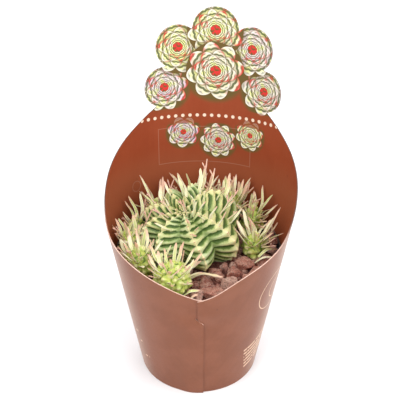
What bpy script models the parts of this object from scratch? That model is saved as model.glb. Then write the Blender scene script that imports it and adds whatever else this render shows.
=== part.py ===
"""A potted melon spurge in a wrap-around card sleeve.

A flared card with a low front and a tall lobed back is rolled round a plastic nursery pot, and its two ends
lap and hook together at the front. The pot holds soil under a layer of lava stones, and a large ribbed head
stands in them, leaning towards the front, with nine smaller heads in a ring round it. Every head carries
fleshy blades and thin forked stalks. The front is at -Y, and the origin is the middle of the pot's base.
"""

import math
import random
from dataclasses import dataclass

import bmesh
import bpy
from mathutils import Matrix, Vector
from mathutils.bvhtree import BVHTree
from mathutils.geometry import delaunay_2d_cdt

MM = 0.001
CLEARANCE = 0.3 * MM

# Card sleeve: a cone that opens upwards
CARD = 0.6 * MM
FOOT_RADIUS = 37.5 * MM
FLARE = 0.168
FOOT_Z = 0.3 * MM
STRIP_DEG = 4.0
# Height of the card's edge by the angle from the front seam, until it runs into the lobes at the back
EDGE = (
    (0, 88.5 * MM),
    (10, 92.5 * MM),
    (22, 98 * MM),
    (36, 103 * MM),
    (52, 106.5 * MM),
    (68, 109.5 * MM),
    (80, 114 * MM),
    (92, 122 * MM),
    (104, 130 * MM),
    (118, 138 * MM),
    (134, 146.5 * MM),
    (150, 156.5 * MM),
    (170, 170 * MM),
)
# Lobed crown of the card, drawn flat: a middle circle, and lobes by (angle from the top, reach, radius)
BACK_TURN_DEG = 9.5
CROWN_Z = 173 * MM
CROWN_RADIUS = 24 * MM
LOBES = (
    (-104, 33.5 * MM, 13 * MM),
    (-54, 29 * MM, 14 * MM),
    (0, 27.5 * MM, 14.5 * MM),
    (54, 29 * MM, 14 * MM),
    (104, 33.5 * MM, 13 * MM),
)
LOBE_STEP_DEG = 4
# Lap and hook of the card's two ends at the front, with the seam a little to the right of the middle
SEAM_TURN_DEG = 4.5
LAP_LEFT = 2.4 * MM
LAP_RIGHT = 1.2 * MM
LAP_LIFT = 0.95 * MM
LAP_RAMP_DEG = 24
LAP_FLAT_DEG = 6
HOOK_Z = 70 * MM
HOOK_HALF = 3.5 * MM
HOOK_GAP = 0.4 * MM

# Nursery pot
POT_HEIGHT = 86 * MM
POT_BASE_RADIUS = 35.5 * MM
POT_WALL = 1.0 * MM
POT_FLOOR = 1.4 * MM
RIM_BAND = 9 * MM
RIM_STEP = 0.7 * MM
DRAIN_COUNT = 6
DRAIN_RADIUS = 3.5 * MM
DRAIN_CIRCLE = 22 * MM
POT_SEGMENTS = 48

# Soil and lava stones
GRAVEL_TOP = 82 * MM
GROUND = 83.5 * MM
PLUG_FLOOR = 72 * MM
STONE_SEED = 11
STONE_RADII = (3.4 * MM, 6.4 * MM)
STONE_TRIES = 2600
STONE_FLATNESS = 0.72
STONE_SPREAD = (0.8, 1.12)

# Heads: profile of a rib's crest, from the crown's middle down to the plug, as shares of radius and height
MELON_PROFILE = (
    (0.0, 0.86),
    (0.08, 0.88),
    (0.2, 0.945),
    (0.36, 0.995),
    (0.55, 0.985),
    (0.75, 0.87),
    (0.91, 0.68),
    (1.0, 0.44),
    (0.96, 0.2),
    (0.84, 0.04),
    (0.68, -0.08),
    (0.6, -0.16),
)
DOME_PROFILE = (
    (0.0, 1.0),
    (0.1, 0.99),
    (0.26, 0.965),
    (0.45, 0.9),
    (0.64, 0.79),
    (0.82, 0.63),
    (0.95, 0.44),
    (1.0, 0.25),
    (0.95, 0.08),
    (0.82, -0.04),
    (0.68, -0.12),
    (0.6, -0.18),
)
PLUG_SHARE = 0.6
COLLAR_SHARE = 0.75
CORE_LEVEL = 0.42
VALLEY_DEPTH = 0.22
VALLEY_SHAPE = 1.6
BAND_SLANT = 0.07
GROWTH_SEED = 5
GOLDEN_DEG = 137.508
BLADE_WIDTH = 2.5 * MM
BLADE_THICKNESS = 1.0 * MM
BLADE_OUTLINE = ((0.0, 0.8), (0.42, 1.0), (0.8, 0.55))
STALK_WIDTH = 1.0 * MM
STALK_OUTLINE = ((0.0, 1.0), (0.72, 0.85))
PRONG_OUTLINE = ((0.0, 0.6), (0.5, 0.9))
ROOT_DEPTH = 1.3 * MM
GROWTH_TRIES = 90
LINE_STEPS = 12
FORK_SHARE = 0.68


@dataclass(frozen=True)
class Head:
    """One ribbed head: where it stands, its size, its lean and what it carries."""

    name: str
    x: float
    y: float
    radius: float
    height: float
    profile: tuple
    crests: tuple
    lean_deg: float
    lean_towards_deg: float
    blades: int
    stalks: int
    lengths: tuple
    polar: tuple
    rings: int
    columns: int
    relief: float


# Azimuths of heads run from the front (-Y) towards +X
MELON = Head(
    name="melon_head",
    x=-3 * MM,
    y=7.5 * MM,
    radius=32.5 * MM,
    height=33 * MM,
    profile=MELON_PROFILE,
    crests=(17, 57, 128, 168, 205, 250, 288, 324),
    lean_deg=17,
    lean_towards_deg=-55,
    blades=12,
    stalks=9,
    lengths=(8 * MM, 14 * MM),
    polar=(24, 66),
    rings=20,
    columns=4,
    relief=0.4 * MM,
)


def side_head(name, x, y, radius, height, blades, stalks, shortest, longest):
    """A small head in the ring round the large one, leaning a little outwards. Sizes are in millimetres."""
    outwards = math.degrees(math.atan2(x, -y))
    ribs = 7
    return Head(
        name=name,
        x=x * MM,
        y=y * MM,
        radius=radius * MM,
        height=height * MM,
        profile=DOME_PROFILE,
        crests=tuple(outwards + 360 * k / ribs for k in range(ribs)),
        lean_deg=3,
        lean_towards_deg=outwards,
        blades=blades,
        stalks=stalks,
        lengths=(shortest * MM, longest * MM),
        polar=(12, 84),
        rings=8,
        columns=2,
        relief=0.2 * MM,
    )


HEADS = (
    MELON,
    side_head("head_front", -13.5, -33.5, 11, 16, 15, 3, 7, 13),
    side_head("head_front_left", -34.4, -20.2, 9, 15, 14, 4, 9, 16),
    side_head("head_left", -42.2, -2.5, 6.6, 14, 11, 3, 9, 16),
    side_head("head_left_back", -40.2, 14, 6, 13, 9, 3, 9, 15),
    side_head("head_back_left", -29, 31, 6.2, 16, 10, 3, 11, 17),
    side_head("head_back", -6, 42.8, 5.8, 19, 11, 4, 12, 18),
    side_head("head_back_right", 18.2, 38.4, 6.2, 18, 11, 4, 12, 18),
    side_head("head_right_back", 32.2, 26.5, 7, 16, 12, 4, 11, 17),
    side_head("head_right", 33.8, 3, 6.8, 13, 12, 4, 8, 15),
)


def through(points, x):
    """Value at x of the smooth curve through (x, value) points."""
    last = len(points) - 1
    k = min(max(sum(p[0] <= x for p in points) - 1, 0), last - 1)

    def slope(i):
        low, high = max(i - 1, 0), min(i + 1, last)
        return (points[high][1] - points[low][1]) / (points[high][0] - points[low][0])

    (x0, y0), (x1, y1) = points[k], points[k + 1]
    span = x1 - x0
    t = (x - x0) / span
    rise = (1 + 2 * t) * (1 - t) ** 2 * y0 + t * t * (3 - 2 * t) * y1
    return rise + span * (t * (1 - t) ** 2 * slope(k) - t * t * (1 - t) * slope(k + 1))


def smooth_step(t):
    """0 below 0, 1 above 1 and a smooth rise between."""
    t = min(max(t, 0.0), 1.0)
    return t * t * (3 - 2 * t)


def material(name, colour, roughness):
    """A plain finish for a node."""
    made = bpy.data.materials.new(name)
    made.use_nodes = True
    shader = made.node_tree.nodes["Principled BSDF"]
    shader.inputs["Base Color"].default_value = (*colour, 1.0)
    shader.inputs["Roughness"].default_value = roughness
    return made


def object_of(name, bm, finish=None):
    """A scene object that holds the mesh, with its faces turned outwards."""
    bmesh.ops.recalc_face_normals(bm, faces=bm.faces)
    mesh = bpy.data.meshes.new(name)
    bm.to_mesh(mesh)
    bm.free()
    made = bpy.data.objects.new(name, mesh)
    if finish:
        mesh.materials.append(finish)
    bpy.context.scene.collection.objects.link(made)
    return made


def boolean(target, operation, cutters, solver="EXACT"):
    """Applies one Boolean with all the cutters on target, and removes them."""
    group = bpy.data.collections.new("operands")
    bpy.context.scene.collection.children.link(group)
    for cutter in cutters:
        bpy.context.scene.collection.objects.unlink(cutter)
        group.objects.link(cutter)
    step = target.modifiers.new("boolean", "BOOLEAN")
    step.operation = operation
    step.operand_type = "COLLECTION"
    step.collection = group
    step.solver = solver
    graph = bpy.context.evaluated_depsgraph_get()
    joined = bpy.data.meshes.new_from_object(target.evaluated_get(graph))
    target.modifiers.remove(step)
    target.data = joined
    for cutter in cutters:
        bpy.data.objects.remove(cutter)
    bpy.data.collections.remove(group)


def turned(name, profile, finish=None, segments=POT_SEGMENTS):
    """A solid turned round Z from a closed (radius, height) outline."""
    bm = bmesh.new()
    points = [bm.verts.new((radius, 0, z)) for radius, z in profile]
    edges = [bm.edges.new(pair) for pair in zip(points, points[1:] + points[:1], strict=True)]
    bmesh.ops.spin(
        bm, geom=points + edges, axis=(0, 0, 1), angle=math.tau, steps=segments, use_merge=True
    )
    bmesh.ops.remove_doubles(bm, verts=bm.verts, dist=0.001 * MM)
    on_axis = [edge for edge in bm.edges if not edge.link_faces]
    bmesh.ops.delete(bm, geom=on_axis, context="EDGES")
    return object_of(name, bm, finish)


def peg(x, y, radius, low, high, sides=14):
    """A plain upright prism that cuts a hole. radius is the least, in the middle of its flats."""
    bm = bmesh.new()
    place = Matrix.Translation((x, y, (low + high) / 2))
    corner = radius / math.cos(math.pi / sides)
    bmesh.ops.create_cone(
        bm, cap_ends=True, segments=sides, radius1=corner, radius2=corner, depth=high - low, matrix=place
    )
    return object_of("peg", bm)


# The card sleeve is drawn flat, as it is cut, and then rolled
CONE_COS = 1 / math.hypot(1, FLARE)
CONE_SIN = FLARE * CONE_COS
CARD_MIDDLE = FOOT_RADIUS - CARD / 2
CONE_TIP_Z = -CARD_MIDDLE / FLARE


def card_radius(z):
    """Radius of the card's middle layer at a height."""
    return CARD_MIDDLE + FLARE * z


def flat_point(turn_deg, z):
    """Point of the flat card that rolls to this turn from opposite the seam, towards +X, and this height."""
    reach = (z - CONE_TIP_Z) / CONE_COS
    spread = math.radians(turn_deg) * CONE_SIN
    return Vector((reach * math.sin(spread), reach * math.cos(spread)))


def rolled(point):
    """(turn from opposite the seam in degrees, height) of a point of the flat card."""
    turn = math.degrees(math.atan2(point.x, point.y) / CONE_SIN)
    return turn, CONE_TIP_Z + point.length * CONE_COS


def lap_lift(turn_deg, z):
    """How far the card stands out where one end lies over the other: right over left above the hook."""
    beside = 180 - abs(turn_deg)
    near = smooth_step((LAP_RAMP_DEG - beside) / (LAP_RAMP_DEG - LAP_FLAT_DEG))
    above = smooth_step((z - HOOK_Z + HOOK_HALF) / (2 * HOOK_HALF))
    return LAP_LIFT * near * (above if turn_deg > 0 else 1 - above)


def free_edge(side, past):
    """Points up one end of the flat card, from foot to brim. past is how far it runs over the seam."""
    levels = [
        (FOOT_Z, past),
        (HOOK_Z - HOOK_HALF, past),
        (HOOK_Z - HOOK_HALF, -HOOK_GAP / 2),
        (HOOK_Z, -HOOK_GAP / 2),
        (HOOK_Z + HOOK_HALF, -HOOK_GAP / 2),
        (HOOK_Z + HOOK_HALF, past),
        (through(EDGE, 0), past),
    ]
    return [
        flat_point(side * (180 + math.degrees(over / card_radius(z))), z) for z, over in levels
    ]


def crown_circles():
    """(offset from the crown's middle, radius) of the circles whose joined outline is the crown."""
    circles = [(Vector((0, 0)), CROWN_RADIUS)]
    for angle, reach, radius in LOBES:
        turn = math.radians(angle)
        circles.append((reach * Vector((math.sin(turn), math.cos(turn))), radius))
    return circles


def crown_reach(angle, circles):
    """How far the crown's outline lies from its middle, at an angle from the top."""
    heading = Vector((math.sin(angle), math.cos(angle)))
    reaches = []
    for offset, radius in circles:
        along_it = heading.dot(offset)
        inside = along_it * along_it - offset.length_squared + radius * radius
        if inside >= 0:
            reaches.append(along_it + math.sqrt(inside))
    return max(reaches)


def brim(side, middle, circles):
    """Points up the card's brim on one side, from the front until it runs into the crown, and the one inside."""
    points = []
    angle = STRIP_DEG
    while True:
        shift = side * BACK_TURN_DEG * smooth_step(angle / 60)
        point = flat_point(side * (180 - angle), through(EDGE, angle + shift))
        if any((point - middle - offset).length < radius for offset, radius in circles):
            return points, point
        points.append(point)
        angle += STRIP_DEG


def card_outline():
    """The flat card's outline, anticlockwise from the left end of its foot."""
    middle = flat_point(BACK_TURN_DEG, CROWN_Z)
    circles = crown_circles()
    right_brim, right_end = brim(1, middle, circles)
    left_brim, left_end = brim(-1, middle, circles)
    first, last = (math.atan2(*(end - middle)) for end in (right_end, left_end))
    steps = round(math.degrees(first - last) / LOBE_STEP_DEG)
    crown = []
    for k in range(steps + 1):
        turn = first + (last - first) * k / steps
        crown.append(middle + crown_reach(turn, circles) * Vector((math.sin(turn), math.cos(turn))))
    half = round(180 / STRIP_DEG)
    foot = [flat_point(STRIP_DEG * k, FOOT_Z) for k in range(-half, half + 1)]
    right, left = free_edge(1, LAP_RIGHT), free_edge(-1, LAP_LEFT)
    return foot + right + right_brim + crown + left_brim[::-1] + left[::-1]


def inside_outline(point, outline):
    """Whether a point lies inside a closed outline, by counting the edges on its right."""
    crossings = 0
    for a, b in zip(outline, outline[1:] + outline[:1], strict=True):
        if (a.y > point.y) != (b.y > point.y):
            crossings += a.x + (point.y - a.y) / (b.y - a.y) * (b.x - a.x) > point.x
    return crossings % 2 == 1


def make_sleeve(finish):
    """The card, cut along the lines on which it bends, rolled into its cone and given its thickness."""
    outline = card_outline()
    points = list(outline)
    edges = [(k, (k + 1) % len(outline)) for k in range(len(outline))]
    half = round(180 / STRIP_DEG)
    top = CROWN_Z + max(reach + radius for _, reach, radius in LOBES)
    for k in range(2 * half + 1):
        points.append(flat_point(STRIP_DEG * (k - half), top))
        edges.append((k, len(points) - 1))
    for side in (-1, 1):
        for level in (HOOK_Z - HOOK_HALF, HOOK_Z, HOOK_Z + HOOK_HALF):
            for turn in (180 - LAP_RAMP_DEG, 180 + LAP_FLAT_DEG):
                points.append(flat_point(side * turn, level))
            edges.append((len(points) - 2, len(points) - 1))
    flat, _, faces, *_ = delaunay_2d_cdt(points, edges, [], 0, 0.001 * MM)
    bm = bmesh.new()
    verts = []
    for point in flat:
        turn, z = rolled(point)
        radius = card_radius(z) + lap_lift(turn, z)
        around = math.radians(turn - SEAM_TURN_DEG)
        verts.append(bm.verts.new((radius * math.sin(around), radius * math.cos(around), z)))
    for face in faces:
        if inside_outline(sum((flat[k] for k in face), Vector((0, 0))) / len(face), outline):
            bm.faces.new([verts[k] for k in face])
    bmesh.ops.delete(bm, geom=[v for v in bm.verts if not v.link_faces], context="VERTS")
    bmesh.ops.remove_doubles(bm, verts=bm.verts, dist=0.08 * MM)
    sleeve = object_of("sleeve", bm, finish)
    shell = sleeve.modifiers.new("card", "SOLIDIFY")
    shell.thickness = CARD
    shell.offset = 0
    shell.use_even_offset = True
    return sleeve


def sleeve_inside(z):
    """Inner radius of the sleeve at a height."""
    return FOOT_RADIUS - CARD / CONE_COS + FLARE * z


def pot_wall_radius(z):
    """Outer radius of the pot's wall below its rim band."""
    ledge = POT_HEIGHT - RIM_BAND
    top = sleeve_inside(ledge) - CLEARANCE - RIM_STEP
    return POT_BASE_RADIUS + (top - POT_BASE_RADIUS) * z / ledge


def make_pot(finish):
    """The nursery pot: floor with drain holes, flared wall and a wider band at its rim."""
    ledge = POT_HEIGHT - RIM_BAND
    rim_low, rim_high = (sleeve_inside(z) - CLEARANCE for z in (ledge, POT_HEIGHT))
    inner_ledge = ledge + POT_WALL
    pot = turned(
        "pot",
        (
            (0, 0),
            (POT_BASE_RADIUS, 0),
            (pot_wall_radius(ledge), ledge),
            (rim_low, ledge),
            (rim_high, POT_HEIGHT),
            (rim_high - POT_WALL, POT_HEIGHT),
            (sleeve_inside(inner_ledge) - CLEARANCE - POT_WALL, inner_ledge),
            (pot_wall_radius(inner_ledge) - POT_WALL, inner_ledge),
            (pot_wall_radius(POT_FLOOR) - POT_WALL, POT_FLOOR),
            (0, POT_FLOOR),
        ),
        finish,
    )
    drains = []
    for k in range(DRAIN_COUNT):
        turn = math.tau * k / DRAIN_COUNT
        x, y = DRAIN_CIRCLE * math.sin(turn), DRAIN_CIRCLE * math.cos(turn)
        drains.append(peg(x, y, DRAIN_RADIUS, -POT_FLOOR, 2 * POT_FLOOR))
    boolean(pot, "DIFFERENCE", drains)
    return pot


def make_soil(finish):
    """The soil that fills the pot, with a plain hole for the foot of each head."""
    top = POT_HEIGHT - RIM_BAND + POT_WALL
    floor = POT_FLOOR + CLEARANCE
    gap = POT_WALL + CLEARANCE
    soil = turned(
        "soil",
        ((0, floor), (pot_wall_radius(floor) - gap, floor), (pot_wall_radius(top) - gap, top), (0, top)),
        finish,
    )
    holes = [
        peg(h.x, h.y, PLUG_SHARE * h.radius + CLEARANCE, PLUG_FLOOR, POT_HEIGHT) for h in HEADS
    ]
    boolean(soil, "DIFFERENCE", holes)
    return soil


@dataclass(frozen=True)
class Stone:
    """One lava stone: its middle, its mean radius, its turn and how far each of its corners stands out."""

    middle: Vector
    radius: float
    turn: float
    corners: tuple


def scattered_stones(bodies):
    """Stones over the free gravel, the largest first, clear of the heads and of the pot's rim."""
    rng = random.Random(STONE_SEED)
    low, high = STONE_RADII
    edge = sleeve_inside(GRAVEL_TOP) - CLEARANCE - POT_WALL
    stones = []
    for attempt in range(STONE_TRIES):
        radius = high - (high - low) * (attempt / STONE_TRIES) ** 0.6
        reach = (edge - STONE_SPREAD[1] * radius - CLEARANCE) * math.sqrt(rng.random())
        turn = rng.uniform(0, math.tau)
        middle = Vector((reach * math.sin(turn), reach * math.cos(turn), 0))
        spin = rng.uniform(0, math.tau)
        corners = tuple(rng.uniform(*STONE_SPREAD) for _ in range(12))
        middle.z = GRAVEL_TOP + rng.uniform(0.1, 0.35) * radius
        if any(too_near(middle, STONE_SPREAD[1] * radius, h, bodies[h.name]) for h in HEADS):
            continue
        if any((middle - s.middle).xy.length < 0.8 * (radius + s.radius) for s in stones):
            continue
        stones.append(Stone(middle, radius, spin, corners))
    return stones


def too_near(middle, radius, head, body):
    """Whether a stone of this radius would meet the head or lie inside the hole round its foot."""
    if math.hypot(middle.x - head.x, middle.y - head.y) < COLLAR_SHARE * head.radius + radius / 2:
        return True
    return body.find_nearest(middle)[3] < radius + CLEARANCE


def stone_object(stone):
    """A stone's solid: twenty flat faces between twelve uneven corners, flattened."""
    bm = bmesh.new()
    bmesh.ops.create_icosphere(bm, subdivisions=1, radius=1)
    for vert, reach in zip(bm.verts, stone.corners, strict=True):
        vert.co *= reach
    size = Matrix.Diagonal((stone.radius, stone.radius, STONE_FLATNESS * stone.radius, 1))
    place = Matrix.Translation(stone.middle) @ size @ Matrix.Rotation(stone.turn, 4, "Z")
    bmesh.ops.transform(bm, matrix=place, verts=bm.verts)
    return object_of("stone", bm)


def make_gravel(bodies, finish):
    """The bed of lava gravel with its loose top stones, and a plain hole round each head."""
    low = POT_HEIGHT - RIM_BAND + POT_WALL + CLEARANCE
    edge = sleeve_inside(low) - POT_WALL - 2.5 * CLEARANCE
    bed = turned("gravel", ((0, low), (edge, low), (edge, GRAVEL_TOP), (0, GRAVEL_TOP)), finish)
    boolean(bed, "UNION", [stone_object(stone) for stone in scattered_stones(bodies)])
    holes = [peg(h.x, h.y, COLLAR_SHARE * h.radius + CLEARANCE, PLUG_FLOOR, GROUND + 1.5 * MM) for h in HEADS]
    boolean(bed, "DIFFERENCE", holes)
    return bed


def crest_point(profile, t):
    """(share of radius, share of height) of a crest, t running from 0 at the crown to 1 at the plug."""
    last = len(profile) - 1
    radius = through([(k / last, point[0]) for k, point in enumerate(profile)], t)
    height = through([(k / last, point[1]) for k, point in enumerate(profile)], t)
    return radius, height


def valley_depth(t):
    """Share by which the valleys lie nearer the core than the crests."""
    return VALLEY_DEPTH * smooth_step(t / 0.16) * smooth_step((1 - t) / 0.22)


def leaned(head, point):
    """A point of an upright head in its place, bent over from the ground up by the head's lean."""
    amount = math.radians(head.lean_deg) * smooth_step(point.z / head.height)
    towards = math.radians(head.lean_towards_deg)
    axis = Vector((math.cos(towards), math.sin(towards), 0))
    bent = Matrix.Rotation(amount, 3, axis) @ point
    return bent + Vector((head.x, head.y, GROUND))


def head_point(head, t, turn_deg, across):
    """Surface point by t down the profile, azimuth, and place across the rib, 0 at crest and 1 in a valley."""
    slant = BAND_SLANT * smooth_step(t / 0.1) * smooth_step((1 - t) / 0.1)
    radius, height = crest_point(head.profile, min(t + slant * across, 1.0))
    scale = 1 - valley_depth(t) * across**VALLEY_SHAPE
    radius *= scale
    height = CORE_LEVEL + (height - CORE_LEVEL) * scale
    turn = math.radians(turn_deg)
    upright = Vector(
        (head.radius * radius * math.sin(turn), -head.radius * radius * math.cos(turn), head.height * height)
    )
    return leaned(head, upright)


def rib_columns(head, per_rib):
    """(azimuth, place across the rib) of each column of points round a head."""
    columns = []
    crests = list(head.crests) + [head.crests[0] + 360]
    for first, second in zip(crests, crests[1:], strict=False):
        for k in range(per_rib):
            share = k / per_rib
            columns.append((first + (second - first) * share, 1 - abs(1 - 2 * share)))
    return columns


def body_mesh(head):
    """The ribbed body of a head down to the foot of its plug, with a pleat for each band of its pattern."""
    bm = bmesh.new()
    columns = rib_columns(head, head.columns)
    core = leaned(head, Vector((0, 0, CORE_LEVEL * head.height)))
    apex = bm.verts.new(head_point(head, 0, 0, 0))
    rings = []
    for k in range(1, head.rings + 1):
        t = k / head.rings
        ring = []
        pleat = head.relief * (-1) ** k * smooth_step((1 - t) / 0.3) * smooth_step(t / 0.2)
        for turn, across in columns:
            point = head_point(head, t, turn, across)
            point += pleat * (1 - across) * (point - core).normalized()
            ring.append(bm.verts.new(point))
        rings.append(ring)
    foot = []
    for turn, _ in columns:
        around = math.radians(turn)
        reach = PLUG_SHARE * head.radius
        x, y = head.x + reach * math.sin(around), head.y - reach * math.cos(around)
        foot.append(bm.verts.new((x, y, PLUG_FLOOR + CLEARANCE)))
    rings.append(foot)
    for upper, lower in zip(rings, rings[1:], strict=False):
        for k in range(len(columns)):
            after = (k + 1) % len(columns)
            bm.faces.new((upper[k], lower[k], lower[after], upper[after]))
    for k in range(len(columns)):
        bm.faces.new((apex, rings[0][k], rings[0][(k + 1) % len(columns)]))
    bm.faces.new(foot)
    return bm


@dataclass(frozen=True)
class Growth:
    """A blade or a stalk: the line it follows, the prong at its tip if it forks, its width and thickness."""

    head: str
    line: tuple
    prong: tuple
    width: float
    thickness: float


def is_clear(growth, placed, bodies):
    """Whether a growth stays inside the sleeve, above the stones and clear of everything but its own head."""
    for k, point in enumerate(growth.line + growth.prong):
        if math.hypot(point.x, point.y) > sleeve_inside(point.z) - 1.6 * MM:
            return False
        if k > 1 and point.z < GROUND + 6 * MM:
            return False
        for name, tree in bodies.items():
            if name == growth.head and k < 0.3 * LINE_STEPS:
                continue
            _, _, _, distance = tree.find_nearest(point)
            if distance < growth.width / 2 + CLEARANCE + 0.25 * MM:
                return False
    for other in placed:
        apart = (growth.width + other.width) / 2
        need = apart + (0.1 * MM if other.head == growth.head else CLEARANCE + 0.2 * MM)
        for point in growth.line + growth.prong:
            if any((point - q).length < need for q in other.line + other.prong):
                return False
    return True


def sprout(head, tree, rng, k, count, stalk):
    """One try at a blade or stalk: rooted on the head's surface, rising and then bending outwards."""
    around = math.radians(k * GOLDEN_DEG + rng.uniform(-35, 35))
    lowest, highest = head.polar
    polar = math.radians(lowest + (highest - lowest) * math.sqrt((k + rng.uniform(0.1, 0.9)) / count))
    heading = Vector(
        (math.sin(polar) * math.sin(around), -math.sin(polar) * math.cos(around), math.cos(polar))
    )
    core = leaned(head, Vector((0, 0, CORE_LEVEL * head.height)))
    root, _, _, _ = tree.ray_cast(core, heading)
    shortest, longest = head.lengths
    length = rng.uniform(shortest, longest) * (1.25 if stalk else 1.0)
    rise = Vector((0, 0, rng.uniform(0.2, 0.9)))
    start = (heading + rise).normalized()
    sideways = Vector((math.cos(around), math.sin(around), 0)) * rng.uniform(-0.3, 0.3)
    upwards = Vector((0, 0, rng.uniform(-0.1, 0.5) * math.sin(polar)))
    bend = (heading * rng.uniform(-0.15, 0.3) + sideways + upwards) * length * (0.4 if stalk else 1.0)
    line = [
        root - ROOT_DEPTH * start + start * length * (j / LINE_STEPS) + bend * (j / LINE_STEPS) ** 2
        for j in range(LINE_STEPS + 1)
    ]
    if not stalk:
        return Growth(head.name, tuple(line), (), BLADE_WIDTH * rng.uniform(0.8, 1.1), BLADE_THICKNESS)
    fork, ahead = along(line, FORK_SHARE)
    aside = ahead.cross(Vector((0.3, 0.8, 0.5))).normalized()
    reach = 0.26 * length * ahead + 0.2 * length * aside
    prong = (fork, fork + 0.5 * reach, fork + reach)
    return Growth(head.name, tuple(line), prong, STALK_WIDTH, STALK_WIDTH)


def grown(bodies):
    """The blades and stalks of every head, placed by turns of the golden angle and a seeded draw."""
    rng = random.Random(GROWTH_SEED)
    placed = []
    for head in HEADS:
        for stalk, count in ((False, head.blades), (True, head.stalks)):
            for k in range(count):
                for _ in range(GROWTH_TRIES):
                    growth = sprout(head, bodies[head.name], rng, k, count, stalk)
                    if is_clear(growth, placed, bodies):
                        placed.append(growth)
                        break
    return placed


def along(line, share):
    """Point and direction at a share of the way along a line of points."""
    place = share * (len(line) - 1)
    k = min(int(place), len(line) - 2)
    return line[k].lerp(line[k + 1], place - k), (line[k + 1] - line[k]).normalized()


def tapered(line, outline, width, thickness, sides):
    """A closed solid swept along a line to a point at its end, with its width by the outline's shares."""
    bm = bmesh.new()
    rings = []
    for share, scale in outline:
        point, heading = along(line, share)
        across = heading.cross(Vector((0, 0, 1)))
        across = across.normalized() if across.length > 0.02 else Vector((1, 0, 0))
        up = across.cross(heading).normalized()
        ring = []
        for k in range(sides):
            turn = math.tau * k / sides
            ring.append(
                bm.verts.new(
                    point
                    + across * math.cos(turn) * scale * width / 2
                    + up * math.sin(turn) * max(scale, 0.6) * thickness / 2
                )
            )
        rings.append(ring)
    tip = bm.verts.new(line[-1])
    for lower, upper in zip(rings, rings[1:], strict=False):
        for k in range(sides):
            after = (k + 1) % sides
            bm.faces.new((lower[k], lower[after], upper[after], upper[k]))
    for k in range(sides):
        bm.faces.new((rings[-1][k], rings[-1][(k + 1) % sides], tip))
    bm.faces.new(rings[0][::-1])
    return object_of("growth", bm)


def growth_objects(growth):
    """The solids of a blade, or of a stalk and its prong."""
    if not growth.prong:
        return [tapered(growth.line, BLADE_OUTLINE, growth.width, growth.thickness, 4)]
    return [
        tapered(growth.line, STALK_OUTLINE, growth.width, growth.thickness, 3),
        tapered(growth.prong, PRONG_OUTLINE, growth.width, growth.thickness, 4),
    ]


def bare_bodies():
    """The surface of each head without its growths, by name, to measure distances from."""
    bodies = {}
    for head in HEADS:
        bm = body_mesh(head)
        bodies[head.name] = BVHTree.FromBMesh(bm)
        bm.free()
    return bodies


def make_heads(bodies, finish):
    """Every head with the blades and stalks that grow from it, joined in one solid each."""
    growths = grown(bodies)
    for head in HEADS:
        made = object_of(head.name, body_mesh(head), finish)
        solids = []
        for growth in growths:
            if growth.head == head.name:
                solids += growth_objects(growth)
        boolean(made, "UNION", solids)


def main():
    """Builds the whole object in an empty scene."""
    for old in list(bpy.data.objects):
        bpy.data.objects.remove(old)
    make_sleeve(material("card", (0.28, 0.1, 0.055), 0.5))
    make_pot(material("pot_plastic", (0.03, 0.03, 0.032), 0.45))
    make_soil(material("soil", (0.035, 0.022, 0.015), 0.95))
    bodies = bare_bodies()
    make_gravel(bodies, material("lava", (0.3, 0.12, 0.09), 0.9))
    make_heads(bodies, material("flesh", (0.5, 0.6, 0.28), 0.5))


main()
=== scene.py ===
"""Looks of a potted melon spurge in its wrap-around card sleeve.

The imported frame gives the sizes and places. This script dresses it: the printed card with its cut edge, the
nursery pot and its soil, the lava stones, the large ribbed head with its bands, nine small heads covered in
tubercles, and the blades and forked stalks that grow from all of them. The front is at -Y.
"""

import logging
import math
import random
from collections.abc import Callable
from dataclasses import dataclass, field, replace
from enum import Enum
from functools import partialmethod
from inspect import signature

import bmesh
import bpy
import numpy as np
from mathutils import Matrix, Vector
from mathutils.bvhtree import BVHTree
from mathutils.geometry import delaunay_2d_cdt


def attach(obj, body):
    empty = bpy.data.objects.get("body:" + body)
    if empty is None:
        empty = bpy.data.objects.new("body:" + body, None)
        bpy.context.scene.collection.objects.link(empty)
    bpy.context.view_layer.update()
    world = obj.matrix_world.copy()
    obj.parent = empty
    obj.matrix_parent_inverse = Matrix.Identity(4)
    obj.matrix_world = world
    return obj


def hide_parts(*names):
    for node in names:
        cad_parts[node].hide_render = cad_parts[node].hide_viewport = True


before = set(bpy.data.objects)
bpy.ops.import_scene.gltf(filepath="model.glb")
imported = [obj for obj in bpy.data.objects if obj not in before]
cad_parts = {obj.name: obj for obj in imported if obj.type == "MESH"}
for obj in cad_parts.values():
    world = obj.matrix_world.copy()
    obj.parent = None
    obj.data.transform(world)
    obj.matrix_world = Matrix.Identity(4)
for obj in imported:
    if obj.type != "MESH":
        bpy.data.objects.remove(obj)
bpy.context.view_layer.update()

LOG = logging.getLogger("potted_melon_spurge")
MM = 0.001
CLEARANCE = 0.3 * MM
BODY = "root"

Mesh = bpy.types.Mesh
Piece = bpy.types.Object
Look = bpy.types.Material
Tree = bpy.types.NodeTree
Colour = tuple[float, float, float, float]
Triple = tuple[float, float, float]
Points = tuple[tuple[float, float], ...]
PLACE: Triple = (0.0, 0.0, 0.0)


# Small sums


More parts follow.
